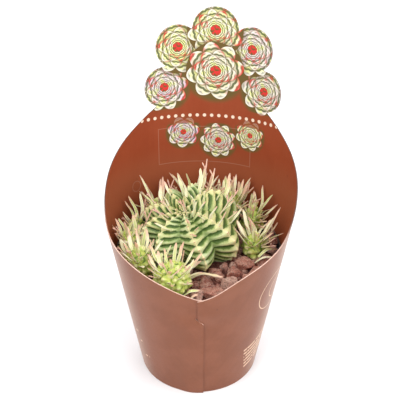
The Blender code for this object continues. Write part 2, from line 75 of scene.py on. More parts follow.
def through(points: Points, x: float) -> float:
    """Value at x of the smooth curve through some points.

    Args:
        points: (x, value) pairs in order of x.
        x: Where to read the curve.

    Returns:
        The value at x.
    """
    last = len(points) - 1
    k = min(max(sum(p[0] <= x for p in points) - 1, 0), last - 1)

    def slope(i: int) -> float:
        """Slope of the curve at a point."""
        low, high = max(i - 1, 0), min(i + 1, last)
        return (points[high][1] - points[low][1]) / (points[high][0] - points[low][0])

    (x0, y0), (x1, y1) = points[k], points[k + 1]
    span = x1 - x0
    t = (x - x0) / span
    rise = (1 + 2 * t) * (1 - t) ** 2 * y0 + t * t * (3 - 2 * t) * y1
    return rise + span * (t * (1 - t) ** 2 * slope(k) - t * t * (1 - t) * slope(k + 1))


def smooth_step(t: float) -> float:
    """0 below 0, 1 above 1 and a smooth rise between."""
    t = min(max(t, 0.0), 1.0)
    return t * t * (3 - 2 * t)


def between(t: float, start: float, end: float) -> float:
    """1 inside the range from 0 to 1, falling smoothly to 0 over the share at its start and at its end."""
    return smooth_step(t / start) * smooth_step((1 - t) / end)


def along(line: list[Vector], share: float) -> tuple[Vector, Vector]:
    """Point and direction at a share of the way along a line of points.

    Args:
        line: The points in order.
        share: 0 at the first point, 1 at the last.

    Returns:
        The point, and the direction of one unit.
    """
    place = share * (len(line) - 1)
    k = min(int(place), len(line) - 2)
    return line[k].lerp(line[k + 1], place - k), (line[k + 1] - line[k]).normalized()


def shade(red: int, green: int, blue: int) -> Colour:
    """Colour of a finish from its red, green and blue on a screen, 0 to 255.

    Args:
        red: Red.
        green: Green.
        blue: Blue.

    Returns:
        The colour, linear.
    """
    levels = (level / 255 for level in (red, green, blue))
    linear = [v / 12.92 if v <= 0.04045 else ((v + 0.055) / 1.055) ** 2.4 for v in levels]
    return (*linear, 1.0)


def spun(radius: float, turn: float, z: float = 0.0) -> Vector:
    """A point at a radius and a height, turned from the back towards +X."""
    return Vector((radius * math.sin(turn), radius * math.cos(turn), z))


# Node trees


class Wire:
    """An output of a node, which takes part in sums. Square brackets give the node's other outputs."""

    def __init__(self, graph: "Graph", node: bpy.types.Node, key: int | str = 0) -> None:
        """Points to an output by its name or number."""
        self.graph, self.node, self.key = graph, node, key

    def __getitem__(self, key: int | str) -> "Wire":
        """Another output of the same node."""
        return Wire(self.graph, self.node, key)

    def sum(self, operation: str, other: "Given" = 0.0) -> "Wire":
        """Result of a sum that starts with this value."""
        return self.graph.math(operation, self, other)

    def sum_from(self, operation: str, other: "Given") -> "Wire":
        """Result of a sum that ends with this value."""
        return self.graph.math(operation, other, self)

    __abs__ = partialmethod(sum, "ABSOLUTE")
    __add__ = partialmethod(sum, "ADD")
    __sub__ = partialmethod(sum, "SUBTRACT")
    __mul__ = partialmethod(sum, "MULTIPLY")
    __truediv__ = partialmethod(sum, "DIVIDE")
    __pow__ = partialmethod(sum, "POWER")
    __radd__ = partialmethod(sum_from, "ADD")
    __rsub__ = partialmethod(sum_from, "SUBTRACT")
    __rmul__ = partialmethod(sum_from, "MULTIPLY")
    __rtruediv__ = partialmethod(sum_from, "DIVIDE")


Given = float | int | str | tuple | Wire | Look
Outputs = dict[str, Wire]


class Graph:
    """Short calls that add nodes to a tree and wire them. A material's graph has the surface point."""

    def __init__(self, tree: Tree) -> None:
        """Wraps a node tree."""
        self.tree = tree
        self.place: Wire | None = None

    def node(self, kind: str, inputs: dict | None = None, **settings: object) -> Wire:
        """Adds a node.

        Args:
            kind: Blender's name for this kind of node.
            inputs: A value or a wire for each input, by its name or number.
            settings: The node's own settings.

        Returns:
            The new node's first output.
        """
        made = self.tree.nodes.new(kind)
        for name, value in settings.items():
            setattr(made, name, value)
        for key, value in (inputs or {}).items():
            self.feed(made.inputs[key], value)
        return Wire(self, made)

    def feed(self, socket: bpy.types.NodeSocket, value: Given) -> None:
        """Wires an input, or sets its value.

        Args:
            socket: The input.
            value: A wire, or the value.
        """
        if isinstance(value, Wire):
            self.tree.links.new(value.node.outputs[value.key], socket)
        else:
            socket.default_value = value

    def math(self, operation: str, a: Given, b: Given = 0.0) -> Wire:
        """Result of one sum on numbers."""
        return self.node("ShaderNodeMath", {0: a, 1: b}, operation=operation)

    def vector(self, operation: str, a: Given, b: Given = PLACE) -> Wire:
        """Result of one sum on vectors."""
        made = self.node("ShaderNodeVectorMath", {0: a, 1: b}, operation=operation)
        return made["Value" if operation in ("LENGTH", "DISTANCE") else "Vector"]

    def scaled(self, place: Given, size: Given) -> Wire:
        """A vector times a number."""
        return self.node("ShaderNodeVectorMath", {0: place, "Scale": size}, operation="SCALE")

    def rise(self, value: Given, low: Given, high: Given, start: Given = 0.0, end: Given = 1.0) -> Wire:
        """A smooth rise from start to end while the value goes from low to high."""
        inputs = {0: value, 1: low, 2: high, 3: start, 4: end}
        return self.node("ShaderNodeMapRange", inputs, interpolation_type="SMOOTHSTEP")

    def fall(self, value: Given, low: Given, high: Given) -> Wire:
        """A smooth fall from 1 to 0 while the value goes from low to high."""
        return self.rise(value, low, high, 1.0, 0.0)

    def blend(self, share: Given, first: Given, second: Given) -> Wire:
        """Colour between two others, by the share of the second."""
        return self.node("ShaderNodeMix", {0: share, 6: first, 7: second}, data_type="RGBA")[2]

    def split(self, vector: Given) -> list[Wire]:
        """X, Y and Z of a vector."""
        made = self.node("ShaderNodeSeparateXYZ", {0: vector})
        return [made[k] for k in range(3)]

    def joined(self, x: Given, y: Given, z: Given = 0.0) -> Wire:
        """A vector of three numbers."""
        return self.node("ShaderNodeCombineXYZ", {0: x, 1: y, 2: z})

    def noise(self, place: Given, scale: Given, detail: float = 3.0, harsh: float = 0.5) -> Wire:
        """Smooth noise, about 0.5 on average."""
        inputs = {"Vector": place, "Scale": scale, "Detail": detail, "Roughness": harsh}
        return self.node("ShaderNodeTexNoise", inputs)

    def cells(self, place: Given, scale: Given) -> Wire:
        """Voronoi cells."""
        return self.node("ShaderNodeTexVoronoi", {"Vector": place, "Scale": scale})

    def stored(self, name: str) -> Wire:
        """Reads an attribute of the surface in a shader, as a number."""
        return self.node("ShaderNodeAttribute", attribute_name=name)["Fac"]

    def bump(self, height: Given, depth: float, strength: float = 1.0) -> Wire:
        """Normal of a surface with this relief, whose full depth is in metres."""
        return self.node("ShaderNodeBump", {"Height": height, "Distance": depth, "Strength": strength})

    def named(self, name: str, kind: str = "FLOAT") -> Wire:
        """An attribute of the geometry, in a tree that makes it."""
        return self.node("GeometryNodeInputNamedAttribute", {"Name": name}, data_type=kind)

    def position(self) -> Wire:
        """The point's position."""
        return self.node("GeometryNodeInputPosition")

    def shifted(self, geometry: Wire, **places: Given) -> Wire:
        """Geometry whose points get a new Position or an Offset."""
        return self.node("GeometryNodeSetPosition", {"Geometry": geometry, **places})

    def raised(self, geometry: Wire, height: Wire) -> Wire:
        """Geometry whose points are raised along their normals."""
        return self.shifted(geometry, Offset=self.scaled(self.node("GeometryNodeInputNormal"), height))

    def kept(self, geometry: Wire, name: str, value: Wire) -> Wire:
        """Geometry that keeps a value for each point, for its shader."""
        inputs = {"Geometry": geometry, "Name": name, "Value": value}
        return self.node("GeometryNodeStoreNamedAttribute", inputs, data_type="FLOAT", domain="POINT")


SOCKET_KINDS = {float: "Float", int: "Int", 3: "Vector", 4: "Color"}
OUTPUT_KINDS = {"VALUE": "Float", "VECTOR": "Vector", "RGBA": "Color"}


class Recipe:
    """A node tree built when it is first used, by a function whose defaults give its named inputs."""

    def __init__(self, wire: Callable) -> None:
        """Keeps the function that wires the inside."""
        self.wire = wire
        self.sockets: dict[str, str] = {}

    def socket(self, label: str, kind: str, way: str = "INPUT") -> bpy.types.NodeTreeInterfaceSocket:
        """Adds a socket to the tree.

        Args:
            label: Its name.
            kind: Its kind, as Blender names it.
            way: Which way it leads, INPUT or OUTPUT.

        Returns:
            The socket.
        """
        made = self.tree.interface.new_socket(label, in_out=way, socket_type=f"NodeSocket{kind}")
        self.sockets[label] = made.identifier
        return made

    def build(self, kind: str, *first: str) -> tuple[Graph, Wire, Outputs | Wire]:
        """Builds the inputs and the inside of the tree.

        Args:
            kind: Blender's name for this kind of tree.
            first: Inputs before those of the function, which gets the first of them.

        Returns:
            The tree's graph, its inputs, and what the function gives.
        """
        self.tree = bpy.data.node_groups.new(self.wire.__name__, kind)
        for label in first:
            self.socket(label, label)
        graph = Graph(self.tree)
        start = graph.node("NodeGroupInput")
        given = {}
        for label, parameter in signature(self.wire).parameters.items():
            value = parameter.default
            if value is not parameter.empty:
                size = len(value) if isinstance(value, tuple) else type(value)
                self.socket(label, SOCKET_KINDS[size]).default_value = value
                given[label] = start[label]
        return graph, start, self.wire(graph, *[start][: len(first)], **given)


class Effect(Recipe):
    """A shader effect that several materials use: one node group, placed in each with its own values."""

    def __call__(self, graph: Graph, **values: Given) -> Wire:
        """Places the group in a material.

        Args:
            graph: The material's graph.
            values: Values or wires by input name. The place is the surface point, if none is given.

        Returns:
            The effect's first output, and the others in brackets.
        """
        if not self.sockets:
            inside, _, made = self.build("ShaderNodeTree")
            for label, wire in made.items():
                self.socket(label, OUTPUT_KINDS[wire.node.outputs[wire.key].type], "OUTPUT")
            inside.node("NodeGroupOutput", made)
        placed = graph.node("ShaderNodeGroup", node_tree=self.tree)
        for label, value in {"place": graph.place, **values}.items():
            graph.feed(placed.node.inputs[label], value)
        return placed


WHITE: Colour = (1.0, 1.0, 1.0, 1.0)


@Effect
def fine_grain(g: Graph, place: Given = PLACE, scale: Given = 1.0) -> Outputs:
    """Fine grain: an even speckle, and the relief of it."""
    both = g.noise(place, scale, 2.0) * 0.4 + g.noise(place, scale * 7.0, 3.0, 0.65) * 0.6
    return {"speckle": g.rise(both, 0.35, 0.65), "relief": both}


@Effect
def soft_mottle(
    g: Graph, place: Given = PLACE, scale: Given = 1.0, softness: Given = 0.2, amount: Given = 1.0,
    first: Given = WHITE, second: Given = WHITE,
) -> Outputs:
    """Soft patches of one colour on another."""
    share = g.rise(g.noise(place, scale, 4.0, 0.6), 0.5 - softness * 0.5, 0.5 + softness * 0.5)
    return {"colour": g.blend(share * amount, first, second)}


@Effect
def settled_dust(
    g: Graph, place: Given = PLACE, amount: Given = 0.3, colour: Given = WHITE, dust: Given = WHITE
) -> Outputs:
    """Pale dust that lies on what faces up.

    Args:
        g: The effect's graph.
        place: The point in millimetres.
        amount: Share of dust where it lies thick.
        colour: What it lies on.
        dust: The dust's own colour.

    Returns:
        The dusty colour.
    """
    up = g.split(g.node("ShaderNodeNewGeometry")["Normal"])[2]
    lies = g.rise(up, 0.2, 0.95) * g.rise(g.noise(place, 0.5, 5.0, 0.7), 0.4, 0.62)
    return {"colour": g.blend(lies * amount, colour, dust)}


@Effect
def drawn_ring(
    g: Graph, place: Given = PLACE, middle: Given = PLACE, radius: Given = 1.0, width: Given = 0.5
) -> Outputs:
    """A thin drawn circle."""
    half = width * 0.5
    return {"line": g.fall(abs(g.vector("DISTANCE", place, middle) - radius), half * 0.6, half * 1.4)}


@Effect
def drawn_box(
    g: Graph, place: Given = PLACE, middle: Given = PLACE, half_size: Given = PLACE, soft: Given = 0.2
) -> Outputs:
    """A filled box with soft edges, and its outline.

    Args:
        g: The effect's graph.
        place: The place on the pattern.
        middle: The box's middle.
        half_size: Half of its width and height.
        soft: Half the width of a soft edge.

    Returns:
        The fill and the outline, 1 where they are.
    """
    x, y, _ = g.split(g.vector("ABSOLUTE", g.vector("SUBTRACT", place, middle)))
    wide, high, _ = g.split(half_size)
    out = g.math("MAXIMUM", x - wide, y - high)
    return {"fill": g.fall(out, soft * -1.0, soft), "line": g.fall(abs(out), soft * 0.5, soft)}


@Effect
def printed_circle(
    g: Graph, place: Given = PLACE, middle: Given = PLACE, radius: Given = 10.0, look: Given = PLACE,
    local_before: Given = PLACE, look_before: Given = PLACE, shade_before: Given = 0.0,
) -> Outputs:
    """One circle of a printed cluster, over those before it: the place in it, its look and its shadow.

    Args:
        g: The effect's graph.
        place: The place on the print.
        middle: The circle's middle.
        radius: Its radius.
        look: Its leaves, turn and tint.
        local_before: The place in the circles before it.
        look_before: Their look.
        shade_before: Their shadow.

    Returns:
        The place in the circle on top, its look, and the shadow.
    """
    share = g.scaled(g.vector("SUBTRACT", place, middle), 1.0 / radius)
    reach = g.vector("LENGTH", share)
    inside = g.math("LESS_THAN", reach, 1.0)
    halo = g.math("MAXIMUM", shade_before, g.fall(reach, 1.0, 1.2))
    local = g.blend(inside, local_before, share)
    return {"local": local, "look": g.blend(inside, look_before, look), "shade": halo * (1.0 - inside)}


# Finishes


@dataclass(frozen=True)
class Finish:
    """A procedural material. Each kind of finish paints its own shader."""

    name: str
    roughness: float = 0.5

    def material(self) -> Look:
        """Builds the material.

        Returns:
            The material, with its shader painted.
        """
        made = bpy.data.materials.new(self.name)
        made.use_nodes = True
        g = Graph(made.node_tree)
        g.place = g.scaled(g.node("ShaderNodeTexCoord")["Object"], 1 / MM)
        shader = made.node_tree.nodes["Principled BSDF"].inputs
        for label, value in {"Roughness": self.roughness, **self.paint(g)}.items():
            g.feed(shader[label], value)
        return made

    def paint(self, g: Graph) -> dict[str, Given]:
        """The shader's inputs by name."""
        raise NotImplementedError

    def rough(self, g: Graph, grain: Wire, less: float, more: float) -> Wire:
        """Roughness that follows the grain, by so much less and more."""
        return g.rise(grain["speckle"], 0.0, 1.0, self.roughness - less, self.roughness + more)


@dataclass(frozen=True)
class CardFinish(Finish):
    """Printed card: brown ink over fibre, with a satin coat. Each side has its own print."""

    ink: Colour = WHITE
    worn: Colour = WHITE
    speck: Colour = WHITE
    pale: Colour = WHITE
    coat: float = 0.0
    coat_roughness: float = 0.4
    shine: float = 0.15

    def paint(self, g: Graph) -> dict[str, Given]:
        """The plain ink with its grain and its few specks, and the print and painted light on it.

        Args:
            g: The material's graph.

        Returns:
            The shader's inputs by name.
        """
        flat = g.stored("flat")["Vector"]
        grain = fine_grain(g, scale=0.9)
        mottled = soft_mottle(g, scale=0.045, softness=0.25, amount=0.65, first=self.ink, second=self.worn)
        drawn = g.noise(g.vector("MULTIPLY", flat, (0.5, 0.03, 1.0)), 1.0, 3.0)
        streaked = g.blend(g.rise(drawn, 0.4, 0.7, 0.0, 0.06), mottled, self.speck)
        speckled = g.blend(grain["speckle"] * 0.1, streaked, self.worn)
        sparse = g.fall(g.cells(g.place, 0.11), 0.06, 0.11) * g.rise(g.noise(g.place, 0.05), 0.5, 0.6)
        return {
            "Base Color": self.printed(g, flat, g.blend(sparse * 0.55, speckled, self.speck)),
            "Roughness": self.rough(g, grain, 0.05, 0.06),
            "Normal": g.bump(grain["relief"], 0.03 * MM, 0.5),
            "Specular IOR Level": self.shine,
            "Coat Weight": self.coat,
            "Coat Roughness": self.coat_roughness,
        }

    def printed(self, g: Graph, flat: Wire, colour: Wire) -> Wire:
        """The ink's colour with the print and the painted light of its side on it, by the place on the flat
        card in millimetres.
        """
        raise NotImplementedError


@dataclass(frozen=True)
class MarkedCard(CardFinish):
    """The card's outside: a block of plain bars and two loops at the right, a few dashes at the left."""

    # Colour of the painted sheen, blended in where the card is seen at a grazing angle.
    grazed: Colour = WHITE
    block: Triple = (89.2, -165.0, 0.0)
    block_turn: float = 0.58
    bars: tuple[float, ...] = (26.0, 24.0, 26.0, 21.0, 23.0, 15.0)
    pitch: float = 3.6
    loops: tuple[Triple, ...] = ((88.6, -117.8, 14.0), (84.0, -116.0, 8.5))
    line: float = 0.6
    dashes: tuple[Triple, ...] = ((-99.0, -152.0, 3.0), (-99.0, -160.0, 2.0), (-98.0, -172.0, 6.0))

    def printed(self, g: Graph, flat: Wire, colour: Wire) -> Wire:
        """The ink, with a painted sheen that makes it paler where the eye grazes it, and its pale marks.

        Args:
            g: The material's graph.
            flat: The place on the flat card in millimetres.
            colour: The ink's colour.

        Returns:
            The colour with the painted sheen and the print.
        """
        # Painted sheen: the ink turns paler towards the card's grazing edges, in place of reflected light.
        facing = g.node("ShaderNodeLayerWeight", {"Blend": 0.5})["Facing"]
        colour = g.blend(g.rise(facing, 0.6, 1.0, 0.0, 0.5), colour, self.grazed)
        inputs = {"Vector": g.vector("SUBTRACT", flat, self.block), "Angle": self.block_turn}
        turned = g.node("ShaderNodeVectorRotate", inputs, rotation_type="Z_AXIS")
        boxes = [(turned, -wide / 2, -self.pitch * row, wide, 1.5) for row, wide in enumerate(self.bars)]
        boxes += [(flat, x, y, length, 1.2) for x, y, length in self.dashes]
        marks = 0.0
        for pattern, x, y, length, height in boxes:
            size = (length / 2, height / 2, 0.0)
            fill = drawn_box(g, place=pattern, middle=(x, y, 0.0), half_size=size, soft=0.18)["fill"]
            marks = g.math("MAXIMUM", marks, fill)
        words = g.noise(g.vector("MULTIPLY", turned, (0.5, 0.28, 1.0)), 1.0, 0.0)
        marks = marks * g.rise(words, 0.36, 0.4)
        for x, y, radius in self.loops:
            loop = drawn_ring(g, place=flat, middle=(x, y, 0.0), radius=radius, width=self.line)
            marks = g.math("MAXIMUM", marks, loop)
        return g.blend(marks * g.rise(g.noise(flat, 0.8, 3.0), 0.25, 0.45, 0.55, 1.0), colour, self.pale)


@dataclass(frozen=True)
class CrownCard(CardFinish):
    """The inside of the card: faint blind lines, and a printed cluster of rosettes on the crown.

    Each rosette is its place and radius on the flat crown in millimetres, its leaves, turn and tint.
    """

    # Colour that the ink turns to low on the inside, towards the foot: painted light.
    low: Colour = WHITE
    leaf: Colour = WHITE
    tint: Colour = WHITE
    stripe: Colour = WHITE
    tip: Colour = WHITE
    heart: Colour = WHITE
    shadow: Colour = WHITE
    band_middle: Triple = (0.0, -27.8, 0.0)
    band_half: Triple = (60.0, 5.2, 0.0)
    bead_step: float = 4.6
    panel_middle: Triple = (-6.5, -47.5, 0.0)
    panel_half: Triple = (30.5, 12.0, 0.0)
    blind_ring: Triple = (-54.9, -70.0, 0.0)
    blind_radius: float = 3.4
    leaf_rings: int = 4
    ring_shrink: float = 0.74
    rosettes: tuple[tuple[float, ...], ...] = (
        (-20.5, -39.0, 10.5, 7.0, 0.3, 0.9), (23.5, -38.5, 10.0, 8.0, 0.9, 0.1),
        (2.0, -44.5, 11.5, 9.0, 0.0, 0.6), (-32.5, -8.1, 15.6, 9.0, 0.2, 0.8),
        (32.5, -8.1, 15.6, 8.0, 0.5, 0.6), (-23.5, 17.0, 16.8, 8.0, 0.9, 0.0),
        (23.5, 17.0, 16.8, 9.0, 0.0, 0.7), (0.0, 27.5, 17.6, 10.0, 0.1, 0.1),
        (0.0, 1.5, 18.5, 8.0, 0.2, 0.4),
    )

    def rosette(self, g: Graph, local: Wire, look: Wire) -> tuple[Wire, Wire]:
        """A printed rosette seen from above: rings of striped leaves round a bright heart.

        Args:
            g: The material's graph.
            local: The place in the circle, whose radius is 1.
            look: Its leaves, turn and tint.

        Returns:
            The colour, and the disc that it fills.
        """
        x, y, _ = g.split(local)
        leaves, turn, tinted = g.split(look)
        reach = g.vector("LENGTH", local)
        count = (g.math("ARCTAN2", y, x) + turn) * (leaves / math.tau)
        leaf = g.blend(g.rise(g.noise(local, 2.2, 1.0), 0.4, 0.52) * tinted, self.leaf, self.tint)
        leaf = g.blend(g.rise(g.noise(local, 3.1, 1.0), 0.5, 0.66, 0.0, 0.8), leaf, self.tip)
        ends = g.blend(g.rise(g.noise(local, 1.6, 1.0), 0.5, 0.58), self.tip, self.heart)
        colour, size = self.shadow, 1.0
        for ring in range(self.leaf_rings):
            aside = abs(g.math("FRACT", count + 0.5 * ring) * 2.0 - 1.0)
            inside = reach / (aside**1.7 * (-0.22 * size) + size)
            stripes = g.rise(g.math("SINE", aside * -7.0 + inside * 36.0), -0.3, 0.4, 0.0, 0.9)
            tipped = g.blend(g.rise(inside, 0.84, 1.0, 0.0, 0.9), g.blend(stripes, leaf, self.stripe), ends)
            edged = g.blend(g.rise(aside, 0.9, 1.0, 0.0, 0.7), tipped, self.shadow)
            under = g.blend(g.rise(inside, 1.0, 1.25, 0.6, 0.0), colour, self.shadow)
            colour = g.blend(g.math("LESS_THAN", inside, 1.0), under, edged)
            size *= self.ring_shrink
        heart = g.blend(g.rise(g.noise(local, 9.0, 2.0), 0.4, 0.55), self.shadow, self.heart)
        return g.blend(g.fall(reach, 0.17, 0.2), colour, heart), g.math("LESS_THAN", reach, 1.0)

    def cluster(self, g: Graph, flat: Wire, ground: Wire) -> Wire:
        """The rosettes over the ink, each with a shadow round it.

        Args:
            g: The material's graph.
            flat: The place on the flat card in millimetres.
            ground: The ink's colour.

        Returns:
            The colour with the rosettes.
        """
        local, look, shaded = (2.0, 2.0, 0.0), PLACE, 0.0
        for x, y, radius, *kind in self.rosettes:
            made = printed_circle(
                g, place=flat, middle=(x, y, 0.0), radius=radius, look=tuple(kind), local_before=local,
                look_before=look, shade_before=shaded,
            )
            local, look, shaded = made["local"], made["look"], made["shade"]
        colour, disc = self.rosette(g, local, look)
        beside = g.blend(shaded * 0.85, ground, self.shadow)
        return g.blend(disc, beside, g.blend(shaded * 0.5, colour, self.shadow))

    def printed(self, g: Graph, flat: Wire, colour: Wire) -> Wire:
        """The ink, lighter towards the foot as painted light, the cluster, the band of beads across it and
        the blind lines.

        Args:
            g: The material's graph.
            flat: The place on the flat card in millimetres.
            colour: The ink's colour.

        Returns:
            The colour with the painted light and the print.
        """
        # Painted light: the ink turns lighter low on the inside, towards the foot.
        colour = g.blend(g.rise(g.split(flat)[1], -66.0, -44.0, 0.8, 0.0), colour, self.low)
        band = drawn_box(g, place=flat, middle=self.band_middle, half_size=self.band_half, soft=0.25)
        printed = g.blend(band["fill"] * 0.8, self.cluster(g, flat, colour), colour)
        x, y, _ = g.split(g.vector("SUBTRACT", flat, self.band_middle))
        step = g.math("MODULO", x + 100 * self.bead_step, self.bead_step) - self.bead_step / 2
        bead = g.fall(g.vector("LENGTH", g.joined(step, y)), 0.95, 1.25)
        within = g.fall(abs(x), self.band_half[0] - 6.0, self.band_half[0] - 5.5)
        printed = g.blend(bead * within, printed, self.pale)
        panel = drawn_box(g, place=flat, middle=self.panel_middle, half_size=self.panel_half, soft=0.35)
        ring = drawn_ring(g, place=flat, middle=self.blind_ring, radius=self.blind_radius, width=0.6)
        blind = g.math("MAXIMUM", panel["line"], ring)
        return g.blend(blind * g.fall(y, -3.0, 0.0) * 0.1, printed, self.pale)


@dataclass(frozen=True)
class CutEdge(Finish):
    """The raw edge of the card: pale fibre in layers."""

    fibre: Colour = WHITE
    ink: Colour = WHITE
    browned: Colour = WHITE

    def paint(self, g: Graph) -> dict[str, Given]:
        """The fibre, stained here and there by ink, and darker high up on the tall back of the sleeve.

        Args:
            g: The material's graph.

        Returns:
            The shader's inputs by name.
        """
        stained = soft_mottle(g, scale=0.7, softness=0.3, amount=0.45, first=self.fibre, second=self.ink)
        grain = fine_grain(g, scale=4.0)
        # Darker above a height of 106 to 118 mm.
        colour = g.blend(g.rise(g.split(g.place)[2], 106.0, 118.0, 0.0, 0.9), stained, self.browned)
        return {"Base Color": colour, "Normal": g.bump(grain["relief"], 0.05 * MM)}


@dataclass(frozen=True)
class Plastic(Finish):
    """Moulded nursery-pot plastic: dull black with fine ripples, scuffs and dust."""

    colour: Colour = WHITE
    scuff: Colour = WHITE
    dust: Colour = WHITE

    def paint(self, g: Graph) -> dict[str, Given]:
        """The plastic with its wear.

        Args:
            g: The material's graph.

        Returns:
            The shader's inputs by name.
        """
        grain = fine_grain(g, scale=1.6)
        scuffed = soft_mottle(g, scale=0.3, softness=0.1, amount=0.4, first=self.colour, second=self.scuff)
        ripple = g.noise(g.vector("MULTIPLY", g.place, (0.12, 0.12, 2.2)), 1.0, 2.0)
        return {
            "Base Color": settled_dust(g, amount=0.5, colour=scuffed, dust=self.dust),
            "Roughness": self.rough(g, grain, 0.1, 0.15),
            "Normal": g.bump(ripple + grain["relief"] * 0.5, 0.08 * MM, 0.6),
        }


@dataclass(frozen=True)
class Earth(Finish):
    """Peat soil: dark crumbs with fibres and pale grains."""

    dark: Colour = WHITE
    fibre: Colour = WHITE
    grain: Colour = WHITE

    def paint(self, g: Graph) -> dict[str, Given]:
        """The crumbs.

        Args:
            g: The material's graph.

        Returns:
            The shader's inputs by name.
        """
        crumbs = g.cells(g.place, 0.9)
        colour = soft_mottle(g, scale=0.8, softness=0.3, amount=0.8, first=self.dark, second=self.fibre)
        pale = g.rise(g.split(crumbs["Color"])[0], 0.9, 0.94)
        relief = crumbs + g.noise(g.place, 2.5, 5.0, 0.7)
        return {
            "Base Color": g.blend(pale * 0.7, colour, self.grain), "Normal": g.bump(relief, 0.6 * MM)
        }


@dataclass(frozen=True)
class Lava(Finish):
    """Red-brown lava: rough, full of small pits, each stone of its own tone."""

    deep: Colour = WHITE
    warm: Colour = WHITE
    pink: Colour = WHITE
    pit: Colour = WHITE
    dust: Colour = WHITE

    def paint(self, g: Graph) -> dict[str, Given]:
        """The rock, its pits and the dust on it, with painted shade where its fine relief is low and in the
        pits, and a painted highlight where it is high.

        Args:
            g: The material's graph.

        Returns:
            The shader's inputs by name.
        """
        tone = g.stored("tone")
        uneven = g.noise(g.place, 0.3, 5.0, 0.7)
        fine = g.noise(g.place, 1.5, 5.0, 0.75)
        pits = g.fall(g.cells(g.place, 1.1), 0.15, 0.38)
        some = pits * g.rise(g.noise(g.place, 0.5, 2.0), 0.4, 0.55)
        colour = self.deep
        # Besides the stones' own tones, the fine relief colours the rock: darker where it is low and in the
        # pits, as painted shade, and paler where it is high, as a painted highlight.
        for share, over in (
            (g.rise(tone, 0.0, 0.5), self.warm),
            (g.rise(tone, 0.4, 1.0), self.pink),
            (g.rise(uneven, 0.48, 0.7, 0.0, 0.8), self.pink),
            (g.rise(uneven, 0.3, 0.5, 0.8, 0.0), self.deep),
            (g.rise(fine, 0.48, 0.36, 0.0, 0.7), self.pit),
            (g.rise(fine, 0.52, 0.64, 0.0, 0.65), self.dust),
            (some * 0.8, self.pit),
        ):
            colour = g.blend(share, colour, over)
        return {
            "Base Color": settled_dust(g, amount=0.4, colour=colour, dust=self.dust),
            "Normal": g.bump(fine - some * 0.8, 1.2 * MM),
        }


@dataclass(frozen=True)
class Flesh(Finish):
    """Living flesh: what every head shares, a waxy skin that lets a little light through."""

    pale: Colour = WHITE
    margin: Colour = WHITE
    dark: Colour = WHITE
    crest: Colour = WHITE
    cool: Colour = WHITE
    band_half: float = 0.25

    def paint(self, g: Graph) -> dict[str, Given]:
        """The skin over the colour of the flesh.

        Args:
            g: The material's graph.

        Returns:
            The shader's inputs by name.
        """
        grain = fine_grain(g, scale=1.1)
        return {
            "Base Color": g.blend(grain["speckle"] * 0.06, self.coloured(g), self.crest),
            "Roughness": self.rough(g, grain, 0.07, 0.07),
            "Normal": g.bump(grain["relief"], 0.12 * MM, 0.6),
            "Specular IOR Level": 0.3,
            "Subsurface Weight": 0.12,
            "Subsurface Radius": (0.6, 0.9, 0.25),
            "Subsurface Scale": 1.6 * MM,
        }

    def coloured(self, g: Graph) -> Wire:
        """Colour of the large head: dark bands with a lime margin and painted light on their lower side,
        lines in the pale ones, painted shade towards the valleys, and scars.

        Args:
            g: The material's graph.

        Returns:
            The colour.
        """
        across = g.stored("across")
        pale = g.blend(g.rise(g.noise(g.place, 0.035, 1.0), 0.42, 0.6), self.pale, self.cool)
        below = g.math("FRACT", (g.noise(g.place, 0.2, 3.0, 0.6) - 0.5) * 0.5 + g.stored("phase")) - 0.5
        off = abs(below)
        inner = g.rise(across, 0.0, 0.3)
        taper = inner * g.rise(across, 0.75, 1.0, 1.0, 0.4)
        jags = g.noise(g.place, 1.1, 3.0, 0.6) - 0.5
        past = jags * 0.16 + (off - taper * (g.noise(g.place, 0.12, 2.0) * 0.7 + 0.65) * self.band_half)
        lens = g.fall(past, -0.03, 0.015) * g.rise(taper, 0.02, 0.14)
        # Margin below each band only: partly the lime margin, partly painted light on the band's lower side.
        under = g.fall(past, 0.0, 0.26) * g.math("GREATER_THAN", below, 0.0)
        beside = g.math("MAXIMUM", g.rise(past, 0.0, 0.1, 0.7, 0.0), under) * inner
        line = g.rise(0.5 - off, 0.015, 0.05, 0.4, 0.0) * inner
        # Greener towards the valleys: painted shade in them. The lines in the pale bands are their own.
        ground = g.blend(g.math("MAXIMUM", line, g.rise(across, 0.55, 1.0, 0.0, 0.7)), pale, self.margin)
        edged = g.blend(beside * 0.8, ground, self.margin)
        # Painted light: each dark band turns lighter towards its lower side.
        lit = g.blend(g.rise(below, -0.1, 0.3, 0.0, 0.5), self.dark, self.margin)
        ridge = g.fall(jags * 0.05 + across, 0.01, 0.06)
        colour = g.blend(ridge, g.blend(lens, edged, lit), self.crest)
        return g.blend(g.rise(g.stored("scar"), 0.35, 0.8) * 0.75, colour, SCAR)


@dataclass(frozen=True)
class TubercleFlesh(Flesh):
    """Flesh of the small heads: green between the tubercles with painted shade there, lime on them, cream at
    their tips with a painted highlight.
    """

    def coloured(self, g: Graph) -> Wire:
        """Colour of the tubercles, with painted shade between them and a painted highlight at their tips.

        Args:
            g: The material's graph.

        Returns:
            The colour.
        """
        tone = g.stored("tone")
        ragged = (g.noise(g.place, 0.9, 3.0) - 0.5) * 0.5 + g.stored("tip")
        # Between the tubercles: their own green, darkened as painted shade.
        hollow = g.blend(g.rise(tone, 0.55, 0.8), self.margin, self.dark)
        flank = g.blend(g.rise(tone, 0.2, 0.7), self.pale, self.cool)
        colour = g.blend(g.rise(ragged, 0.02, 0.3), hollow, flank)
        # Cream at the tips: partly their own colour, partly a painted highlight.
        colour = g.blend(g.rise(ragged, 0.45, 0.95, 0.0, 0.9), colour, self.crest)
        rusty = g.rise(tone, 0.88, 0.9) * g.rise(ragged, 0.8, 1.0)
        return g.blend(rusty * 0.6, colour, SCAR)


